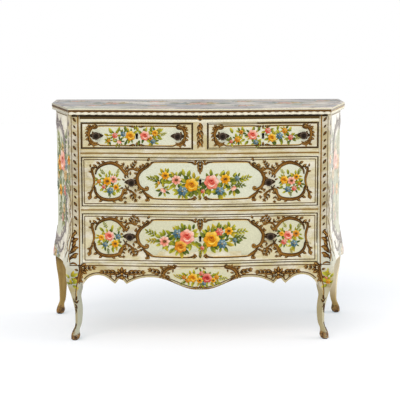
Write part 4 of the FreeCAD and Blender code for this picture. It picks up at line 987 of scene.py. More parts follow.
MIDDLE_FLOWERS = [
    ("leaf", 1, -60, 622, 26, 95), ("leaf", 0, -46, 618, 27, 68), ("leaf", 3, -22, 612, 24, 96), ("leaf", 0, 40, 624, 22, 92),
    ("leaf", 1, 76, 622, 24, 62), ("leaf", 0, -150, 612, 22, 150), ("leaf", 2, -26, 566, 26, 252), ("leaf", 0, -6, 574, 26, 282),
    ("leaf", 1, 14, 574, 22, 268), ("leaf", 0, 36, 574, 26, 262), ("leaf", 4, 92, 588, 24, 318), ("leaf", 1, -98, 590, 24, 232),
    ("leaf", 0, -112, 604, 24, 205), ("leaf", 3, -136, 634, 18, 120), ("leaf", 2, 116, 606, 24, 8), ("leaf", 1, 122, 620, 18, 50),
    ("sprig", 0, -146, 604, 42, 168), ("sprig", 1, 134, 604, 46, 14), ("sprig", 2, 120, 592, 40, -12),
    ("sprig", 3, 0, 560, 22, 262), ("bloom", "blue", 136, 612, 9), ("bell", "orange", -150, 596, 8, 200),
    ("bell", "salmon", -134, 570, 13, 235), ("bell", "salmon", 122, 577, 13, 305), ("bloom", "blue", -65, 566, 19),
    ("bloom", "blue", 73, 566, 17), ("daisy", "yellow", -127, 623, 16), ("daisy", "yellow", 93, 610, 19),
    ("daisy", "salmon", -87, 607, 18.5), ("bloom", "pink", 10, 566, 8), ("rose", "yellow", -31, 589, 26),
    ("rose", "pink", 42, 599, 28),
]
BOTTOM_FLOWERS = [
    ("leaf", 0, -62, 424, 25, 105), ("leaf", 1, -78, 420, 24, 130), ("leaf", 3, 30, 414, 25, 86), ("leaf", 0, 64, 428, 23, 66),
    ("leaf", 1, -36, 370, 26, 262), ("leaf", 0, -16, 380, 26, 292), ("leaf", 3, -66, 340, 24, 262), ("leaf", 1, 20, 358, 26, 262),
    ("leaf", 0, 46, 360, 26, 285), ("leaf", 0, -108, 402, 26, 130), ("leaf", 1, -146, 392, 26, 150), ("leaf", 0, -98, 352, 24, 220),
    ("leaf", 3, 100, 368, 26, -8), ("leaf", 0, 88, 358, 22, 300), ("leaf", 4, -26, 424, 20, 80), ("leaf", 1, 4, 398, 22, 84),
    ("leaf", 1, -116, 366, 24, 225), ("leaf", 1, 118, 424, 20, 50), ("leaf", 0, -130, 400, 24, 105), ("leaf", 3, 52, 424, 22, 110),
    ("sprig", 0, -152, 396, 46, 158), ("sprig", 3, -150, 382, 40, 188), ("sprig", 2, 108, 388, 50, 10),
    ("sprig", 1, 120, 410, 46, 12), ("sprig", 0, 2, 350, 24, 266), ("bloom", "blue", 128, 382, 9),
    ("bloom", "blue", -84, 408, 18), ("bloom", "blue", 81, 370, 18), ("bloom", "pink", 71, 414, 15),
    ("daisy", "yellow", 106, 417, 16), ("daisy", "salmon", -131, 379, 20), ("rose", "orange", -72, 361, 24),
    ("rose", "pink", -48, 397, 29), ("rose", "yellow", 42, 387, 31), ("bloom", "pink", 8, 356, 8),
]
MIDDLE_ROUNDELS = (
    small_bunch(-332, 599, [
        ("sprig", 0, -18, 20, 26, 120), ("sprig", 1, 22, 22, 24, 55), ("sprig", 2, 0, -36, 20, 262), ("leaf", 1, 0, 22, 20, 92),
        ("leaf", 0, -30, 16, 18, 130), ("leaf", 0, 24, -28, 18, 310), ("leaf", 1, -24, -24, 18, 225),
        ("bloom", "orange", -40, 0, 8.5), ("bloom", "blue", 1, -34, 13), ("daisy", "yellow", 23, -21, 11.5),
        ("daisy", "salmon", 14, 8, 15), ("daisy", "yellow", -9, 1, 17), ("bloom", "pink", -22, -20, 8)]),
    small_bunch(332, 599, [
        ("sprig", 1, -20, 22, 24, 125), ("sprig", 0, 24, 22, 26, 50), ("sprig", 2, 2, -34, 20, 272), ("leaf", 0, -6, 24, 20, 98),
        ("leaf", 1, 32, 4, 18, 0), ("leaf", 0, -26, -20, 18, 215), ("leaf", 1, 26, -26, 18, 320),
        ("bloom", "blue", -8, -31, 12), ("bloom", "pink", 16, -28, 10), ("daisy", "yellow", 24, 15, 12.5),
        ("rose", "yellow", -21, 4, 16), ("daisy", "salmon", 6, 1, 16), ("bloom", "orange", 36, -10, 7)]))
BOTTOM_ROUNDELS = (
    small_bunch(-335, 390, [
        ("sprig", 0, -10, 28, 28, 108), ("sprig", 1, 24, 22, 24, 45), ("sprig", 2, -4, -34, 22, 262), ("leaf", 0, -22, 22, 22, 130),
        ("leaf", 1, 8, 26, 22, 80), ("leaf", 0, 10, -36, 20, 282), ("leaf", 3, -28, -18, 20, 215), ("leaf", 1, 34, -24, 18, 320),
        ("rose", "yellow", -30, 0, 12), ("bloom", "blue", 32, 4, 11), ("bloom", "blue", -16, -26, 10),
        ("daisy", "yellow", 21, -22, 15), ("rose", "pink", 0, 6, 18.5)]),
    small_bunch(335, 390, [
        ("sprig", 1, -14, 28, 26, 118), ("sprig", 0, 22, 26, 28, 55), ("sprig", 3, 2, -36, 22, 275), ("leaf", 1, -24, 20, 22, 140),
        ("leaf", 0, 2, 28, 22, 94), ("leaf", 0, 30, -4, 20, 345), ("leaf", 1, -30, -26, 20, 225), ("leaf", 3, 10, -38, 18, 285),
        ("bloom", "pink", -24, -18, 11), ("daisy", "orange", 22, 12, 14), ("bloom", "blue", 14, -24, 14),
        ("rose", "pink", -8, 6, 18), ("rose", "yellow", -32, 12, 10)]))

long_drawer("middle", 21, 673, 535, -231, 236, MIDDLE_FLOWERS, MIDDLE_ROUNDELS)
long_drawer("bottom", 31, 459, 321, -232, 234, BOTTOM_FLOWERS, BOTTOM_ROUNDELS)


def short_drawer(d, seed, flowers, ends):
    left, right = ends
    top, bottom = 804, 731.5
    mid = 0.5 * (top + bottom)
    coat, lines = drawer_ground(d, 5.2, mix(FIELD, PALE, 0.3), top, bottom, left + 3, right - 3)
    gilt = Strokes(f"{d}_drawer_gilding", SURFACES[d], f"{d}_drawer", GILDING, seed)
    blooms = Strokes(f"{d}_drawer_flowers", SURFACES[d], f"{d}_drawer", PAINT, seed + 1)
    hole_x, hole_z = KEYHOLES[d]
    blooms.clear = ((hole_x, hole_z - 15, hole_z + 6, 5.0),)
    centre = 0.5 * (left + right)
    for s, end in ((-1, left), (1, right)):
        for z, up in ((top, 1), (bottom, -1)):
            reach = 26 if up > 0 else 34
            gold_line(gilt, [(centre + s * 14, z), (centre + s * 70, z + 0.5 * up), (end - s * (reach + 10), z),
                             (end - s * reach, z - up * 5)], 4.6, -s * up)
        at = lambda a, b: (end - s * a, b)
        scroll(gilt, [at(25, top - 7), at(14, top - 6), at(5, top - 15), at(1, mid + 6), at(3, mid - 7), at(7, mid - 16)], 13.0,
               fringe=s, curl=(s, 0), radius=5.6, tip=0.5)
        scroll(gilt, [at(1, mid - 2), at(3, mid - 14), at(9, bottom + 11), at(20, bottom + 4), at(34, bottom + 4)], 12.0,
               fringe=-s, curl=(0, 0), tip=0.45)
        for a, b, angle, size in ((8, top - 12, 150, 18), (3, mid + 8, 175, 14), (4, mid - 10, 200, 16), (10, bottom + 8, 215, 15),
                                  (24, top - 6, 100, 13), (18, bottom + 6, 280, 13), (16, top - 20, 280, 13),
                                  (16, mid - 14, 60, 12)):
            gilt_leaf(gilt, *at(a, b), math.radians(angle if s < 0 else 180 - angle), size, 0.72)
        gilt_leaf(gilt, centre + s * 5, top, math.radians(-90 + s * 68), 14, 0.6)
        gilt_leaf(gilt, centre + s * 5, bottom, math.radians(90 - s * 68), 16, 0.6)
        scroll(gilt, [(centre + s * 28, top - 1), (centre + s * 18, top - 4)], 5.0, curl=(0, -s), radius=3.2, tip=0.6)
        scroll(gilt, [(centre + s * 28, bottom + 1), (centre + s * 18, bottom + 4)], 5.0, curl=(0, s), radius=3.2, tip=0.6)
    gilt_leaf(gilt, centre, top + 3, -math.pi / 2, 15, 0.7)
    gilt_leaf(gilt, centre, bottom - 3, math.pi / 2, 17, 0.7)
    bunch(blooms, flowers, 15, 1.5)
    for made in (coat, lines, gilt, blooms):
        made.make()


short_drawer("top_left", 41, [
    ("leaf", 1, -322, 776, 24, 118), ("leaf", 3, -334, 768, 18, 160), ("leaf", 0, -300, 782, 20, 70), ("leaf", 0, -288, 756, 20, 250),
    ("leaf", 4, -268, 748, 18, 240), ("leaf", 1, -228, 784, 20, 92), ("leaf", 2, -222, 752, 20, 262), ("leaf", 0, -182, 786, 20, 60),
    ("leaf", 1, -152, 782, 22, 38), ("leaf", 0, -156, 762, 20, -20), ("leaf", 2, -272, 786, 20, 96), ("leaf", 0, -240, 790, 16, 70),
    ("sprig", 0, -322, 760, 22, 200), ("sprig", 1, -150, 772, 24, 6), ("bloom", "blue", -281, 774, 10),
    ("bloom", "pink", -311, 769, 11), ("bell", "salmon", -295, 747, 11, 255), ("bloom", "blue", -172, 748, 10),
    ("rose", "yellow", -164, 779, 12), ("daisy", "orange", -181, 760, 8), ("rose", "yellow", -254, 768, 18.5),
    ("rose", "pink", -201, 769, 18.5), ("bloom", "yellow", -334, 750, 6.5)], (-409, -53))
short_drawer("top_right", 51, [
    ("leaf", 1, 120, 778, 23, 115), ("leaf", 0, 162, 782, 20, 118), ("leaf", 0, 176, 750, 20, 235), ("leaf", 2, 214, 784, 20, 80),
    ("leaf", 1, 220, 750, 20, 268), ("leaf", 0, 232, 776, 18, 100), ("leaf", 4, 276, 748, 18, 270), ("leaf", 0, 300, 752, 20, 272),
    ("leaf", 1, 326, 782, 20, 60), ("leaf", 0, 346, 766, 20, 4), ("leaf", 3, 152, 764, 20, 180), ("leaf", 1, 164, 756, 18, 215),
    ("leaf", 0, 284, 788, 18, 80), ("leaf", 2, 322, 748, 18, 290),
    ("sprig", 0, 122, 758, 24, 192), ("sprig", 1, 344, 758, 22, -10), ("bloom", "blue", 204, 744, 10),
    ("bloom", "yellow", 137, 755, 12.5), ("bloom", "pink", 249, 786, 12), ("bloom", "blue", 292, 766, 13),
    ("bloom", "yellow", 311, 785, 11), ("bloom", "pink", 333, 760, 10.5), ("rose", "pink", 193, 772, 19.5),
    ("rose", "yellow", 264, 760, 16), ("daisy", "orange", 151, 782, 8), ("bloom", "pink", 114, 748, 7)], (52, 410))


# ---- the carcass: rails, posts, divider, apron ----
RAILS = front_of("top_front_rail", "upper_rail", "lower_rail", "centre_divider", "apron", "left_front_leg",
                 "right_front_leg")
RAILS.jump = 0.006
rail_lines = Strokes("rail_lines", RAILS, "carcass", PAINT, 61)
rail_gilt = Strokes("rail_gilding", RAILS, "carcass", GILDING, 62)
post_blooms = Strokes("post_flowers", RAILS, "carcass", PAINT, 63)

rail_lines.patch(between(-438, 438, 44), lambda x: 819.5, lambda x: 830.5, PALE, 0.10, 3)
# painted shadow: a near-black band under the overhang of the top
rail_lines.patch(between(-470, 470, 46), lambda x: 836.6, lambda x: 843.9, tone(36, 25, 9), 0.30, 3)
rail_lines.patch(between(-444, 444, 44), lambda x: 828.4, lambda x: 837.4, tone(84, 64, 26), 0.20, 3)
for z in (703.5, 492.5):
    rail_lines.line([(-440, z), (0, z), (440, z)], 5.6, mix(LINE_BROWN, LINE_GOLD, 0.6), 0.16)
    for up in (-1, 1):
        rail_lines.line([(-436, z + 8 * up), (0, z + 8 * up), (436, z + 8 * up)], 4.2, mix(PALE, CREAM, 0.35), 0.12)
for s in (-1, 1):
    rail_lines.line([(s * 446.5, 843), (s * 446.5, 700), (s * 446.5, 500), (s * 446.5, 286)], 6.0, mix(LINE_BROWN, LINE_GOLD, 0.7), 0.22, step=20)
    rail_lines.line([(s * 441, 838), (s * 441, 600), (s * 441, 290)], 3.0, mix(PALE, CREAM, 0.4), 0.2, step=20)
    z, k = 826.0, 0
    while z > 352:
        big = k % 2 == 0
        length, wide = (20.5, 10.5) if big else (14, 7.5)
        tilt = math.radians(-90 - s * 34)
        x = s * (459.5 + max(0.0, 0.075 * (430 - z)))
        x, y = x - math.cos(tilt) * length * 0.5, z - math.sin(tilt) * length * 0.5
        rail_gilt.petal(x, y, tilt, length, wide, (GOLD_DEEP, GOLD_DARK, GOLD_DEEP), 0.2, 0.8, 0, 0.4, 0.95)
        if big:
            rail_gilt.petal(x + 0.3 * math.cos(tilt) * length, y + 0.3 * math.sin(tilt) * length, tilt, 0.4 * length,
                            0.2 * wide, (GOLD, mix(GOLD, GOLD_LIGHT, 0.4), GOLD), 0.95, 0.3)
        z -= 26
        k += 1
    # leafage at the knee: a stem near the arris, turned leaves and two volutes
    turned_to = lambda angle: math.radians(angle if s < 0 else 180 - angle)
    stem = [(s * 474, 398), (s * 480, 374), (s * 484, 348), (s * 485, 320), (s * 482, 298)]
    gold_line(rail_gilt, stem, 3.2, s)
    for x, z, angle, size in ((474, 392, 60, 22), (470, 384, 100, 18), (476, 372, 40, 26), (472, 352, 75, 24), (478, 346, 25, 26),
                              (480, 330, 60, 26), (474, 322, 30, 22), (482, 312, 45, 24), (486, 336, 140, 18)):
        gilt_leaf(rail_gilt, s * x, z, turned_to(angle), 1.15 * size, 0.6, 0.5 * s)
    scroll(rail_gilt, [(s * 482, 330), (s * 474, 340), (s * 466, 341)], 8.0, curl=(0, -s), radius=5.0, tip=0.6)
    scroll(rail_gilt, [(s * 484, 308), (s * 474, 318), (s * 465, 316)], 8.0, curl=(0, -s), radius=5.0, tip=0.6)
    scroll(rail_gilt, [(s * 484, 292), (s * 470, 296), (s * 456, 290)], 7.0, curl=(0, 0), tip=0.5)
# the leafy drop on the divider
rail_gilt.dot(0, 812, 4.6, GOLD, 0.4, 1.0)
gold_line(rail_gilt, [(0, 812), (1.5, 790), (-1.5, 765), (0, 735)], 2.6)
for z, size in ((812, 20), (800, 17), (787, 23), (771, 20), (756, 22), (741, 18)):
    for s in (-1, 1):
        gilt_leaf(rail_gilt, s * 1.5, z + 2 * s, -math.pi / 2 + s * (0.62 + 0.012 * (size - 19)), size, 0.46, -s * 0.6)
for z, size in ((806, 12), (779, 14), (748, 14)):
    rail_gilt.petal(0, z, -math.pi / 2, 1.3 * size, 0.6 * size, (GOLD_DARK, mix(GOLD, ROSE_ORANGE[1], 0.5), GOLD_LIGHT), 0.9, 0.8, 0, 0.3, 0.9)
for s in (-1, 1):
    for z, size in ((836, 14), (824, 17)):
        gilt_leaf(rail_gilt, s * 1.5, z, math.pi / 2 + s * 0.7, size, 0.5, s * 0.5)


def apron_edge(x):
    """Height of the apron's lower edge at x, found on the node itself."""
    low, high = 150.0, 290.0
    for _ in range(9):
        mid = 0.5 * (low + high)
        hit = RAILS.tree.ray_cast(Vector((x * MM, -1, mid * MM)), Vector((0, 1, 0)))
        if hit[0] is not None and hit[3] < 0.95:
            high = mid
        else:
            low = mid
    return high


EDGE = [(x, apron_edge(x)) for x in between(-424, 424, 106)]


def edge_line(offset, start=0, end=None):
    """The lower edge of the apron moved inwards by offset."""
    found = []
    for i, (x, z) in enumerate(EDGE):
        (ax, az), (bx, bz) = EDGE[max(i - 1, 0)], EDGE[min(i + 1, len(EDGE) - 1)]
        length = math.hypot(bx - ax, bz - az) or 1
        found.append((x - (bz - az) / length * offset, min(283.0, z + (bx - ax) / length * offset)))
    return found[start:end]


def edge_height(x):
    for (ax, az), (bx, bz) in zip(EDGE, EDGE[1:]):
        if ax <= x <= bx:
            return az + (bz - az) * (x - ax) / (bx - ax)
    return 283.0


rail_lines.line([(-478, 287), (-440, 287), (0, 287), (440, 287), (478, 287)], 4.6, LINE_BROWN, 0.18)
rail_lines.ribbon(edge_line(3.0), 6.4, (mix(CREAM, LINE_GOLD, 0.35),) * 2, 0.15, 0.4)
rail_lines.ribbon(edge_line(8.6), 5.0, (LINE_BROWN, LINE_BROWN), 0.22, 0.4)
APRON_PALE = mix(CREAM, FIELD, 0.45)
rail_lines.patch(between(-122, 122, 24), lambda x: max(edge_height(x) + 4, 244 - 40 * math.sqrt(max(0.0, 1 - (x / 126) ** 2))),
                 lambda x: 250 + 32 * math.sqrt(max(0.0, 1 - (x / 126) ** 2)) ** 0.7, APRON_PALE, 0.10, 6)
for s in (-1, 1):
    turned_to = lambda angle: math.radians(angle if s < 0 else 180 - angle)
    scroll(rail_gilt, [(s * 96, 283), (s * 116, 279), (s * 130, 268), (s * 137, 254)], 12.0, fringe=s, curl=(s, -s), radius=5.5,
           tip=0.5)
    scroll(rail_gilt, [(s * 134, 262), (s * 124, 244), (s * 104, 228), (s * 78, 214), (s * 48, 206), (s * 14, 204)], 8.5,
           fringe=s, curl=(s, 0), radius=4.5, tip=0.45)
    foliate(rail_gilt, s * 138, 262, turned_to(172), 50, 3, 0.44, 0.2 * s, 0.6, 0.5)
    for x, z, angle, size in ((112, 282, 120, 15), (134, 276, 150, 17), (140, 252, 215, 15), (100, 276, 260, 12),
                              (124, 262, 10, 14), (122, 252, 330, 13), (128, 240, 230, 15), (104, 222, 230, 12)):
        gilt_leaf(rail_gilt, s * x, z, turned_to(angle), size, 0.66)
    # the foliate spray between the cartouche and the leg
    for x, z, angle, size in ((290, 258, 90, 22), (286, 256, 60, 20), (294, 256, 120, 20), (282, 254, 25, 18), (298, 254, 155, 18),
                              (290, 254, 270, 22), (284, 254, 230, 18), (296, 254, 310, 18), (276, 250, 240, 14), (304, 250, 300, 14)):
        gilt_leaf(rail_gilt, s * x, z, turned_to(angle), 1.15 * size, 0.66)
    rail_gilt.dot(s * 290, 257, 5.2, GOLD, 1.0, 1.2)
    rail_gilt.dot(s * 290, 257, 2.4, GOLD_LIGHT, 2.0, 0.4)
    foliate(rail_gilt, s * 298, 258, math.radians(90 - 90 * s) + s * 0.16, 72, 4, 0.30, s * -0.2, 0.55, 0.5)
    foliate(rail_gilt, s * 282, 258, math.radians(90 + 90 * s) - s * 0.16, 76, 4, 0.30, s * 0.2, 0.55, 0.5)
    foliate(rail_gilt, s * 300, 250, math.radians(90 - 90 * s) - s * 0.32, 36, 2, 0.38, s * 0.5)
    foliate(rail_gilt, s * 280, 250, math.radians(90 + 90 * s) + s * 0.32, 40, 2, 0.36, -s * 0.5)
    # the corner ornament at the head of the leg, and the scroll running down the leg
    scroll(rail_gilt, [(s * 449, 290), (s * 444, 272), (s * 447, 254), (s * 452, 236), (s * 455, 222)], 12.0, fringe=-s,
           curl=(0, 0), tip=0.5)
    foliate(rail_gilt, s * 442, 276, math.radians(90 + 90 * s) - s * 0.02, 52, 3, 0.36, -s * 0.1, 0.7, 0.62)
    for x, z, angle, size in ((444, 284, 25, 20), (440, 268, 330, 20), (446, 252, 310, 14), (452, 268, 160, 12),
                              (452, 242, 200, 14), (450, 232, 330, 15)):
        gilt_leaf(rail_gilt, s * x, z, turned_to(angle), 1.2 * size, 0.7)
gilt_leaf(rail_gilt, 0, 203, math.pi / 2, 15, 0.8)
for s in (-1, 1):
    gilt_leaf(rail_gilt, s * 5, 204, math.pi / 2 - s * 1.1, 16, 0.6)
    gilt_leaf(rail_gilt, s * 8, 283, -math.pi / 2 + s * 1.2, 14, 0.5)
bunch(post_blooms, [
    ("leaf", 0, -52, 254, 20, 150), ("leaf", 1, -22, 258, 20, 100), ("leaf", 3, 12, 258, 18, 90), ("leaf", 0, 46, 252, 20, 30),
    ("leaf", 1, -26, 230, 20, 250), ("leaf", 0, 8, 224, 20, 275), ("leaf", 3, 40, 226, 18, 310),
    ("sprig", 3, -58, 246, 34, 172), ("sprig", 1, 62, 242, 32, 6), ("sprig", 0, -50, 236, 24, 212), ("sprig", 1, 52, 234, 26, -26),
    ("bloom", "orange", -60, 248, 9), ("bloom", "yellow", 60, 248, 10), ("bloom", "yellow", -46, 236, 10),
    ("daisy", "yellow", 48, 236, 10), ("bloom", "pink", 4, 262, 9), ("bloom", "blue", 14, 224, 8),
    ("daisy", "yellow", -2, 236, 12), ("rose", "yellow", -27, 246, 18), ("rose", "red", 25, 245, 19)], 14)


# ---- the legs ----
def swept(z, hip, ankle, toe):
    """How far a leg stands out at height z."""
    if z >= 255:
        return hip * ease((440 - z) / 185)
    if z >= 60:
        return ankle + (hip - ankle) * (1 - ease((255 - z) / 165))
    return ankle + (toe - ankle) * ease((60 - z) / 45)


def turned_mirror(side, angle):
    """An angle in degrees, written for the left, in radians on either side."""
    return math.radians(angle if side < 0 else 180 - angle)


def post_edge(side, z):
    """Where the post's front arris lies at height z."""
    return side * (473 + swept(z, 25, -5, 10))


for s in (-1, 1):
    # from the corner ornament down the inner line of the outer facet to a husk at the ankle
    path = [(s * 455, 226), (s * 459, 210), (s * 462, 190), (s * 463, 170), (s * 464, 146)]
    gold_line(rail_gilt, path, 4.2, -s)
    arris = [(post_edge(s, z) - s * 2.0, z) for z in between(838, 300, 30)]
    rail_gilt.ribbon(arris, 2.8, (GOLD_DARK, LINE_BROWN), 0.3, 0.7, 0.4)
    for x, z, angle, size in ((464, 150, 75, 20), (464, 140, 120, 20), (464, 138, 50, 18), (464, 132, 262, 26),
                              (466, 136, 290, 20), (462, 130, 240, 16), (465, 116, 262, 22)):
        rail_gilt.petal(s * x, z, turned_mirror(s, angle), size, 0.5 * size, (GOLD_DEEP, GOLD_DARK, GOLD_DEEP), 0.35, 0.8)
    # worn leafage about the foot
    for x, z, angle, size in ((470, 66, 258, 22), (474, 54, 250, 20), (466, 60, 268, 20), (472, 44, 262, 14), (480, 40, 250, 12)):
        rail_gilt.petal(s * x, z, turned_mirror(s, angle), size, 0.46 * size, (GOLD_DEEP, GOLD_DARK, GOLD_DEEP), 0.3, 0.7)
    # yellow-green sprigs on the outer facet
    turned_to = lambda angle: math.radians(angle if s < 0 else 180 - angle)
    for x, z, angle, size, kind in ((478, 246, 20, 22, 1), (476, 244, 80, 20, 3), (484, 240, 140, 18, 1), (478, 238, -30, 22, 1),
                                    (474, 218, 30, 22, 1), (478, 214, 100, 18, 3), (474, 210, -30, 20, 1), (482, 216, 160, 16, 0)):
        leaf(post_blooms, s * x, z, turned_to(angle), 1.25 * size, LEAVES[kind])
    if s > 0:
        sprig(post_blooms, 479, 200, turned_to(84), 62, 7, LEAVES[1], 0.28)
    if s > 0:
        bloom(post_blooms, 477, 222, 11, ROSE_YELLOW)
        bloom(post_blooms, 470, 236, 6, ROSE_PINK)
for made in (rail_lines, rail_gilt, post_blooms):
    made.make()


# ---- the sides ----
VIOLET_DARK, VIOLET, VIOLET_LIGHT = tone(98, 88, 86), tone(142, 132, 128), tone(208, 202, 192)


def grey_scroll(p, shades, points, width, s, curl=(0, 0), radius=12.0):
    """A painted grey-violet rocaille scroll with a pale ridge."""
    dark, body_tone, light = shades
    line = list(points)
    if curl[1]:
        line = curled(line, radius, curl[1])
    if curl[0]:
        line = curled(line, radius, -curl[0], True)
    path = resampled(line, 7)
    body = lambda t: 0.35 + 0.65 * math.sin(math.pi * t) ** 0.8
    for i in range(2, len(path) - 2, 3):
        a = heading(path, i)
        for side in (-1, 1):
            p.petal(path[i][0], path[i][1], a + side * 0.9, width * 1.1, 0.6 * width, (dark, body_tone, light),
                    0.2, 0.7, side * 0.6, 0.3, 1.0)
    p.ribbon(path, width, (dark, body_tone, dark), 0.6, 1.3, 0.5, 6, body)
    p.ribbon([(x + 0.16 * width, z + 0.14 * width) for x, z in path[1:-1]], 0.3 * width, (light, PALE), 1.8, 0.3, 0.2, 2,
             body)


def mix_pair(a, b):
    return tuple(mix(x, y, 0.5) for x, y in zip(a, b))


def side_ornament(side):
    word = "left" if side < 0 else "right"
    # painted light: the right side's lines, gilding and flowers are washed towards white, as lit from the right
    painted_light_washes = (0.0, 0.0, 0.0) if side < 0 else (0.22, 0.1, 0.5)
    dark, body, light = VIOLET_DARK, VIOLET, VIOLET_LIGHT
    skin = side_of(side)
    skin.jump, skin.reach = 0.012, 0.75
    lines = Strokes(f"{word}_side_lines", skin, "carcass", PAINT, 71)
    gilt = Strokes(f"{word}_side_gilding", skin, "carcass", GILDING, 72)
    blooms = Strokes(f"{word}_side_flowers", skin, "carcass", PAINT, 73)
    middle = 236 + POST_FACE_Y
    place = lambda points: [(middle + y, z) for y, z in points]
    lines.patch([middle + y for y in between(-120, 120, 20)],
                lambda u: 560 - 200 * math.sqrt(max(0.0, 1 - ((u - middle) / 124) ** 2)) ** 0.7,
                lambda u: 560 + 215 * math.sqrt(max(0.0, 1 - ((u - middle) / 124) ** 2)) ** 0.7,
                mix(FIELD, GREY_GREEN, 0.3), 0.10, 14)
    for s in (-1, 1):
        grey_scroll(lines, (dark, body, light), place([(s * 8, 792), (s * 48, 796), (s * 88, 778), (s * 118, 744), (s * 134, 706)]), 24, s, (s, -s))
        grey_scroll(lines, (dark, body, light), place([(s * 128, 690), (s * 140, 640), (s * 132, 580), (s * 138, 530)]), 16, s, (0, s))
        grey_scroll(lines, (dark, body, light), place([(s * 140, 520), (s * 132, 460), (s * 116, 404), (s * 86, 368)]), 18, s, (0, -s))
        grey_scroll(lines, (dark, body, light), place([(s * 10, 344), (s * 44, 348), (s * 80, 362), (s * 104, 392)]), 18, s, (-s, s))
        grey_scroll(lines, (dark, body, light), place([(s * 30, 332), (s * 70, 318), (s * 112, 316), (s * 140, 332)]), 14, s, (s, s))
        for y, z, a, size in ((60, 800, 70, 30), (128, 738, 30, 30), (146, 650, 10, 26), (144, 536, -10, 26),
                              (120, 404, -35, 34), (66, 352, -60, 30)):
            (u, v), = place([(s * y, z)])
            lines.petal(u, v, math.radians(a if s > 0 else 180 - a), size, 0.5 * size, (dark, body, light), 0.3, 0.8)
    for a in (-130, -90, -50):
        lines.petal(middle, 800, math.radians(a), 46, 20, (dark, body, light), 0.3, 0.8)
        lines.petal(middle, 336, math.radians(-a), 40, 18, (dark, body, light), 0.3, 0.8)
    faded = FADED_LEAVES + (mix_pair(LEAVES[0], FADED_LEAVES[0]), mix_pair(LEAVES[2], FADED_LEAVES[1]))
    bunch(blooms, small_bunch(middle - 82, 590, [
        ("sprig", 3, -30, 90, 90, 110), ("sprig", 2, 30, 80, 84, 66), ("sprig", 0, -50, -20, 70, 200), ("sprig", 1, 50, -20, 70, -20),
        ("sprig", 2, 0, -90, 100, 262), ("sprig", 0, 26, -70, 90, 296), ("sprig", 3, -26, -70, 80, 240),
        ("bloom", "faded_blue", -62, 62, 20), ("bloom", "blue", 60, 66, 17), ("daisy", "faded_gold", -8, 118, 22),
        ("daisy", "yellow", 36, -48, 24), ("bloom", "pink", -40, -40, 20), ("bloom", "faded_rose", 8, -150, 18),
        ("bell", "faded_gold", 66, 8, 20, 320), ("daisy", "faded_gold", -20, -112, 20), ("rose", "orange", 40, 56, 32),
        ("rose", "faded_gold", -50, 20, 26), ("rose", "salmon", -8, 70, 42)]), 30, 1.0, faded)
    bunch(blooms, small_bunch(middle, 288, [
        ("sprig", 0, -40, 6, 60, 170), ("sprig", 1, 40, 6, 60, 10), ("bloom", "faded_blue", -66, 16, 15),
        ("bloom", "faded_gold", 62, 18, 15), ("rose", "faded_rose", 24, 8, 21), ("daisy", "faded_gold", -24, 6, 18)]), 22, 0.9,
        FADED_LEAVES)
    # an orange flower on the turn of the post, and brown leafage down its edge
    edge = 34 + POST_FACE_Y
    bunch(blooms, [("sprig", 3, edge + 6, 640, 60, 262), ("sprig", 0, edge + 4, 700, 50, 92),
                   ("bloom", "faded_gold", edge + 2, 610, 12), ("rose", "orange", edge + 6, 672, 20)], 18, 1.0, faded)
    for z in (800, 764, 730):
        for lean in (-0.6, 0.6):
            lines.petal(edge + 10, z, math.pi / 2 + lean, 34, 15, (dark, body, light), 0.3, 0.8)
    for k in range(9):
        z = 560 - 30 * k
        gilt_leaf(gilt, edge - 12 + 6 * (k % 2), z, math.radians(62 if k % 2 else 118), 26, 0.5)
        gilt_leaf(gilt, edge - 8, z - 12, math.radians(95), 20, 0.4)
    for edge_y in (58, 400):
        u = edge_y + POST_FACE_Y
        lines.line([(u, 836), (u, 600), (u, 330)], 5.0, LINE_BROWN, 0.16, step=20)
        lines.line([(u + 8, 832), (u + 8, 600), (u + 8, 330)], 3.0, PALE, 0.16, step=20)
    lines.line([(60 + POST_FACE_Y, 836), (middle, 836), (400 + POST_FACE_Y, 836)], 6.0, mix(LINE_BROWN, CREAM, 0.3), 0.2)
    # painted light: wash each piece's colours towards white by its share
    for made, painted_light in zip((lines, gilt, blooms), painted_light_washes):
        made.pigment[:] = [mix(c, tone(240, 236, 224), painted_light) for c in made.pigment]
        made.make()


side_ornament(-1)
side_ornament(1)


# ---- the top ----
TOP = Surface(("top_board",), (0, 0, 2), (1, 0, 0), (0, 1, 0), (0, 0, 1))
TOP.reach = 3.0
TOP_FLATNESS = 0.07          # the table top is worn: its flowers hardly stand out
top_strokes = Strokes("top_flowers", TOP, "carcass", PAINT, 81)
top_lines = Strokes("top_lines", TOP, "carcass", PAINT, 82)
top_strokes.flat = top_lines.flat = TOP_FLATNESS
TOP_MID = 205 + POST_FACE_Y


def top_outline(inset):
    front = [(x, -8 - 34 * ease(1 - abs(x) / 437) + inset) for x in between(-482 + inset, 482 - inset, 60)]
    path = front + [(568 - inset, 285), (568 - inset, 440 - inset), (0, 440 - inset), (-568 + inset, 440 - inset),
                    (-568 + inset, 285)] + [front[0]]
    return [(x, y + POST_FACE_Y) for x, y in path]


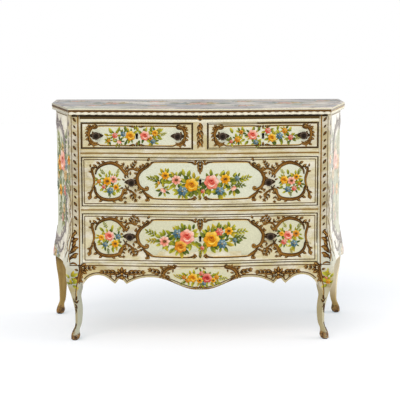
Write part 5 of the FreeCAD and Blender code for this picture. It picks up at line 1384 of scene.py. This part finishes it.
for inset, width, colour in ((20, 5.0, tone(134, 122, 108)), (30, 2.4, tone(158, 148, 132))):
    outline = top_outline(inset)
    for a, b in zip(outline[60:], outline[61:]):
        top_lines.line([a, b], width, colour, 0.10, 0.15, step=25)
    top_lines.ribbon(outline[:61], width, (colour, colour), 0.10, 0.15)
MARBLE_LEAVES = FADED_LEAVES + ((tone(120, 128, 116), tone(158, 166, 148)),)
for cx, cy, size in ((-330, 20, 1.3), (0, 0, 1.6), (330, 20, 1.3), (-170, 110, 0.9), (170, 110, 0.9), (-480, 130, 0.8),
                     (480, 130, 0.8), (-165, -110, 0.9), (165, -110, 0.9), (-400, -90, 0.7), (400, -90, 0.7)):
    bunch(top_strokes, small_bunch(cx, TOP_MID + cy, [
        ("sprig", 0, -26 * size, 0, 50 * size, 175), ("sprig", 1, 26 * size, 0, 50 * size, 5),
        ("bloom", "faded_rose", 12 * size, -26 * size, 13 * size), ("bloom", "faded_gold", -20 * size, -22 * size, 14 * size),
        ("daisy", "faded_blue", -32 * size, 12 * size, 18 * size), ("rose", "faded_gold", 32 * size, 10 * size, 20 * size),
        ("rose", "faded_rose", 0, 4 * size, 24 * size)]), 20 * size, 0.8, MARBLE_LEAVES)
for made in (top_lines, top_strokes):
    made.make()


# ---- knobs: a fluted bud on a pointed leaf plate ----
def bowed(x, z):
    """The y of the drawer faces in the frame, mm."""
    if z >= 255:
        sweep = 20 * ease((440 - z) / 185)
    else:
        sweep = -6 + 26 * (1 - ease((255 - z) / 165))
    return -sweep - 34 * ease(1 - abs(x) / 437) + POST_FACE_Y


def turned(points, faces, profile, place, flutes, around=48):
    """Adds a closed turned body along -Y; profile rows are (distance out, radius, flute depth)."""
    x, y, z = place
    first = len(points)
    for out, radius, depth in profile:
        for i in range(around):
            a = math.tau * i / around
            r = radius * (1 - depth * (0.5 + 0.5 * math.cos(flutes * a)) ** 2)
            points.append(((x + r * math.cos(a)) * MM, (y - out) * MM, (z + r * math.sin(a)) * MM))
    rows = len(profile)
    for k in range(rows - 1):
        for i in range(around):
            a, b = first + k * around + i, first + k * around + (i + 1) % around
            faces.append((a, b, b + around, a + around))
    faces.append(tuple(first + i for i in reversed(range(around))))
    faces.append(tuple(first + (rows - 1) * around + i for i in range(around)))


def knobs(d):
    made = Strokes(f"{d}_drawer_bronze", SURFACES[d], f"{d}_drawer", BRONZE, 91)
    dark = (tone(26, 17, 9), tone(58, 42, 24))
    for x, z in KNOBS[d]:
        for s in (0, math.pi):
            made.petal(x, z, s, 26.5, 23, (dark[0], dark[1], dark[1]), 0.3, 1.2, 0, 0.3, 0.55, 10)
            made.petal(x, z, s, 25, 2.2, (dark[0], dark[0]), 1.45, 0.3, 0, 0.1, 0.5, 8)
            for off in (-1, 1):
                for reach, length in ((5, 10), (10, 8)):
                    made.petal(x + math.cos(s) * reach, z, s + off * 0.75, length, 2.0, (dark[1], dark[0]), 1.2, 0.4, 0, 0.1, 0.6, 5)
        for a in range(0, 360, 60):
            made.petal(x, z, math.radians(a + 30), 12.6, 7.6, (dark[0], dark[1]), 0.9, 0.8, 0, 0.3, 0.7, 6)
    plate_count = len(made.points)
    profile = [(-1.5, 5.2, 0), (1.0, 5.2, 0), (2.2, 4.6, 0), (5, 4.4, 0), (7.5, 5.2, 0.02), (9.5, 9.6, 0.08), (12, 13.4, 0.12),
               (14.5, 15.0, 0.13), (16.5, 14.9, 0.13), (18.5, 13.1, 0.14), (20.3, 9.9, 0.16), (21.4, 6.3, 0.16),
               (21.9, 4.6, 0.05), (23.0, 4.4, 0), (24.2, 3.4, 0), (24.9, 1.4, 0)]
    for x, z in KNOBS[d]:
        turned(made.points, made.faces, profile, (x, bowed(x, z), z), 12)
    extra = len(made.points) - plate_count
    for k in range(extra):
        row, i = divmod(k % (len(profile) * 48), 48)
        # painted highlight: a paler ring round the bud's widest part, rising and falling with the flutes
        rim = max(0.0, 1 - abs(profile[row][1] - 13.0) / 5.0) if row > 6 else 0.0
        made.pigment.append(mix(dark[0], tone(100, 82, 68), rim * (0.75 - 0.45 * math.cos(12 * math.tau * i / 48))))
        made.uv.append((0.1 + 0.8 * i / 48, 0.1 + 0.8 * row / len(profile)))
        made.cell.append(made.count + k // (len(profile) * 48))
    made.count += len(KNOBS[d])
    piece = made.make()
    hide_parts(f"{d}_drawer_knobs")


for d in DRAWERS:
    knobs(d)


# ---- the edge of the top: a painted highlight on the arris, brown band, white lobes ----
BAND_BROWN = tone(104, 72, 32)


def edge_run(name, skin, start, end, count, shade=1.0, brown=BAND_BROWN):
    """The painted bands and the row of lobes along one straight run of the edge, from u = start to end; shade dims them
    all as painted shade.
    """
    dim = lambda c: tuple(v * shade for v in c)
    band = Strokes(f"{name}_band", skin, "carcass", PAINT, 96)
    lobes = Strokes(f"{name}_lobes", skin, "carcass", PAINT, 95)
    mid = 0.5 * (start + end)
    # painted highlight: a cream line along the rounded upper arris
    band.line([(start, 865.2), (mid, 865.2), (end, 865.2)], 5.6, dim(mix(PALE, CREAM, 0.25)), 0.25, 0.3, 10)
    band.line([(start, 858.6), (mid, 858.6), (end, 858.6)], 8.4, dim(brown), 0.3, 0.5, 10)
    band.line([(start, 848.6), (mid, 848.6), (end, 848.6)], 7.6, dim(mix(PALE, (1, 1, 1), 0.2)), 0.3, 0.9, 10, 0.12)
    pitch = (end - start) / count
    for i in range(count):
        u = start + (i + 0.5) * pitch
        skin.settle((u, 850))
        # painted light: each lobe whitens towards its top
        lobes.ribbon([(u, z) for z in (844.8, 846.5, 848.5, 850.5, 852.5, 854.2, 855.6)], 0.98 * pitch,
                     (dim(PALE), dim(mix(PALE, (1, 1, 1), 0.3))), 0.3, 1.5, 0.16, 6,
                     lambda t: math.sqrt(max(0.0, 1 - max(0.0, t - 0.45) ** 2 / 0.3025)))
        lobes.ribbon([(u - 0.36 * pitch, 851.6), (u - 0.2 * pitch, 854.6), (u, 856.0), (u + 0.2 * pitch, 854.6),
                      (u + 0.36 * pitch, 851.6)], 0.9, (dim(GOLD_LIGHT), dim(GOLD_LIGHT)), 1.3, 0.4, 0.2, 2)
    band.make()
    lobes.make()


def edge_bands():
    names = ("top_board", "edge_moulding")
    front = Surface(names, (0, -1, 0), (1, 0, 0), (0, 0, 1), (0, -1, 0))
    edge_run("top_front", front, -481, 481, 38)
    for side in (-1, 1):
        word = "left" if side < 0 else "right"
        # the cant, seen square on, and the straight side behind it
        run = Vector((side * 86.0, 293.0, 0)).normalized()
        out = Vector((side * run.y, -run.x * side, 0))
        centre = Vector((side * 0.525, (138.5 + POST_FACE_Y) * MM, 0))
        cant = Surface(names, centre + out * 0.5, run, (0, 0, 1), out)
        # painted shade dims the left cant; painted light pales the right cant's brown band
        edge_run(f"top_{word}_cant", cant, -151, 151, 11, 0.62 if side < 0 else 1.0,
                 BAND_BROWN if side < 0 else mix(BAND_BROWN, tone(206, 200, 188), 0.55))
        skin = Surface(names, (side, 0, 0), (0, 1, 0), (0, 0, 1), (side, 0, 0))
        edge_run(f"top_{word}_side", skin, 287 + POST_FACE_Y, 438 + POST_FACE_Y, 6)


edge_bands()
dress(painted("painted_moulding", tone(138, 110, 70), tone(112, 86, 48), wear=0.02), "edge_moulding")


# ---- light, floor, camera ----
def world():
    made = bpy.data.worlds.new("surroundings")
    bpy.context.scene.world = made
    made.use_nodes = True
    tree = made.node_tree
    back = tree.nodes["Background"]
    back.inputs["Color"].default_value = (0.97, 0.98, 1.0, 1)
    back.inputs["Strength"].default_value = 0.70
    white = tree.nodes.new("ShaderNodeBackground")
    white.inputs["Color"].default_value = (1, 1, 1, 1)
    white.inputs["Strength"].default_value = 1.0
    path = tree.nodes.new("ShaderNodeLightPath")
    either = tree.nodes.new("ShaderNodeMath")
    either.operation = "MAXIMUM"
    tree.links.new(path.outputs["Is Camera Ray"], either.inputs[0])
    tree.links.new(path.outputs["Is Transmission Ray"], either.inputs[1])
    chosen = tree.nodes.new("ShaderNodeMixShader")
    tree.links.new(either.outputs[0], chosen.inputs[0])
    tree.links.new(back.outputs[0], chosen.inputs[1])
    tree.links.new(white.outputs[0], chosen.inputs[2])
    tree.links.new(chosen.outputs[0], tree.nodes["World Output"].inputs[0])


def lamp(name, kind, place, target, energy, size, colour=(1, 1, 1)):
    light = bpy.data.lights.new(name, kind)
    light.energy = energy
    light.color = colour
    if kind == "SUN":
        light.angle = size
    else:
        light.size = size
    made = bpy.data.objects.new(name, light)
    bpy.context.scene.collection.objects.link(made)
    made.location = place
    made.rotation_euler = (Vector(target) - Vector(place)).to_track_quat("-Z", "Y").to_euler()


def floor():
    """White and faintly glowing, so that only a light shadow shows."""
    mesh = bpy.data.meshes.new("floor")
    work = bmesh.new()
    bmesh.ops.create_circle(work, cap_ends=True, segments=64, radius=9)
    work.to_mesh(mesh)
    work.free()
    made = bpy.data.objects.new("floor", mesh)
    bpy.context.scene.collection.objects.link(made)
    n = Nodes("white_floor")
    n.finish(n.ramp(n.noise(3.0), 0.0, 1.0, (0.74, 0.66, 0.64), (0.75, 0.67, 0.65)), 0.9)
    n.shader.inputs["Specular IOR Level"].default_value = 0.0
    n.shader.inputs["Emission Color"].default_value = (0.60, 0.86, 0.98, 1)
    n.shader.inputs["Emission Strength"].default_value = 0.374
    mesh.materials.append(n.material)


world()
floor()
lamp("key", "SUN", (-1.6, -3.6, 3.8), (0, 0, 0.4), 1.25, math.radians(45), (1.0, 0.99, 0.97))
lamp("front", "SUN", (0.4, -4.0, 1.4), (0, 0, 0.4), 0.20, math.radians(60))
lamp("right_side", "SUN", (4.0, -0.1, 1.2), (0, 0, 0.5), 2.3, math.radians(40), (0.98, 0.99, 1.0))
lamp("left_side", "SUN", (-4.0, -0.1, 1.2), (0, 0, 0.5), 0.80, math.radians(60), (1.0, 0.96, 0.9))

camera = bpy.data.cameras.new("camera")
camera.lens = 114.7
camera.sensor_width = 36
view = bpy.data.objects.new("camera", camera)
bpy.context.scene.collection.objects.link(view)
view.location = (-0.0800, -4.8505, 1.2223)
view.rotation_euler = (math.pi / 2 - 0.1479, 0.0011, -0.01736)
bpy.context.scene.camera = view
bpy.context.scene.view_settings.view_transform = "Standard"
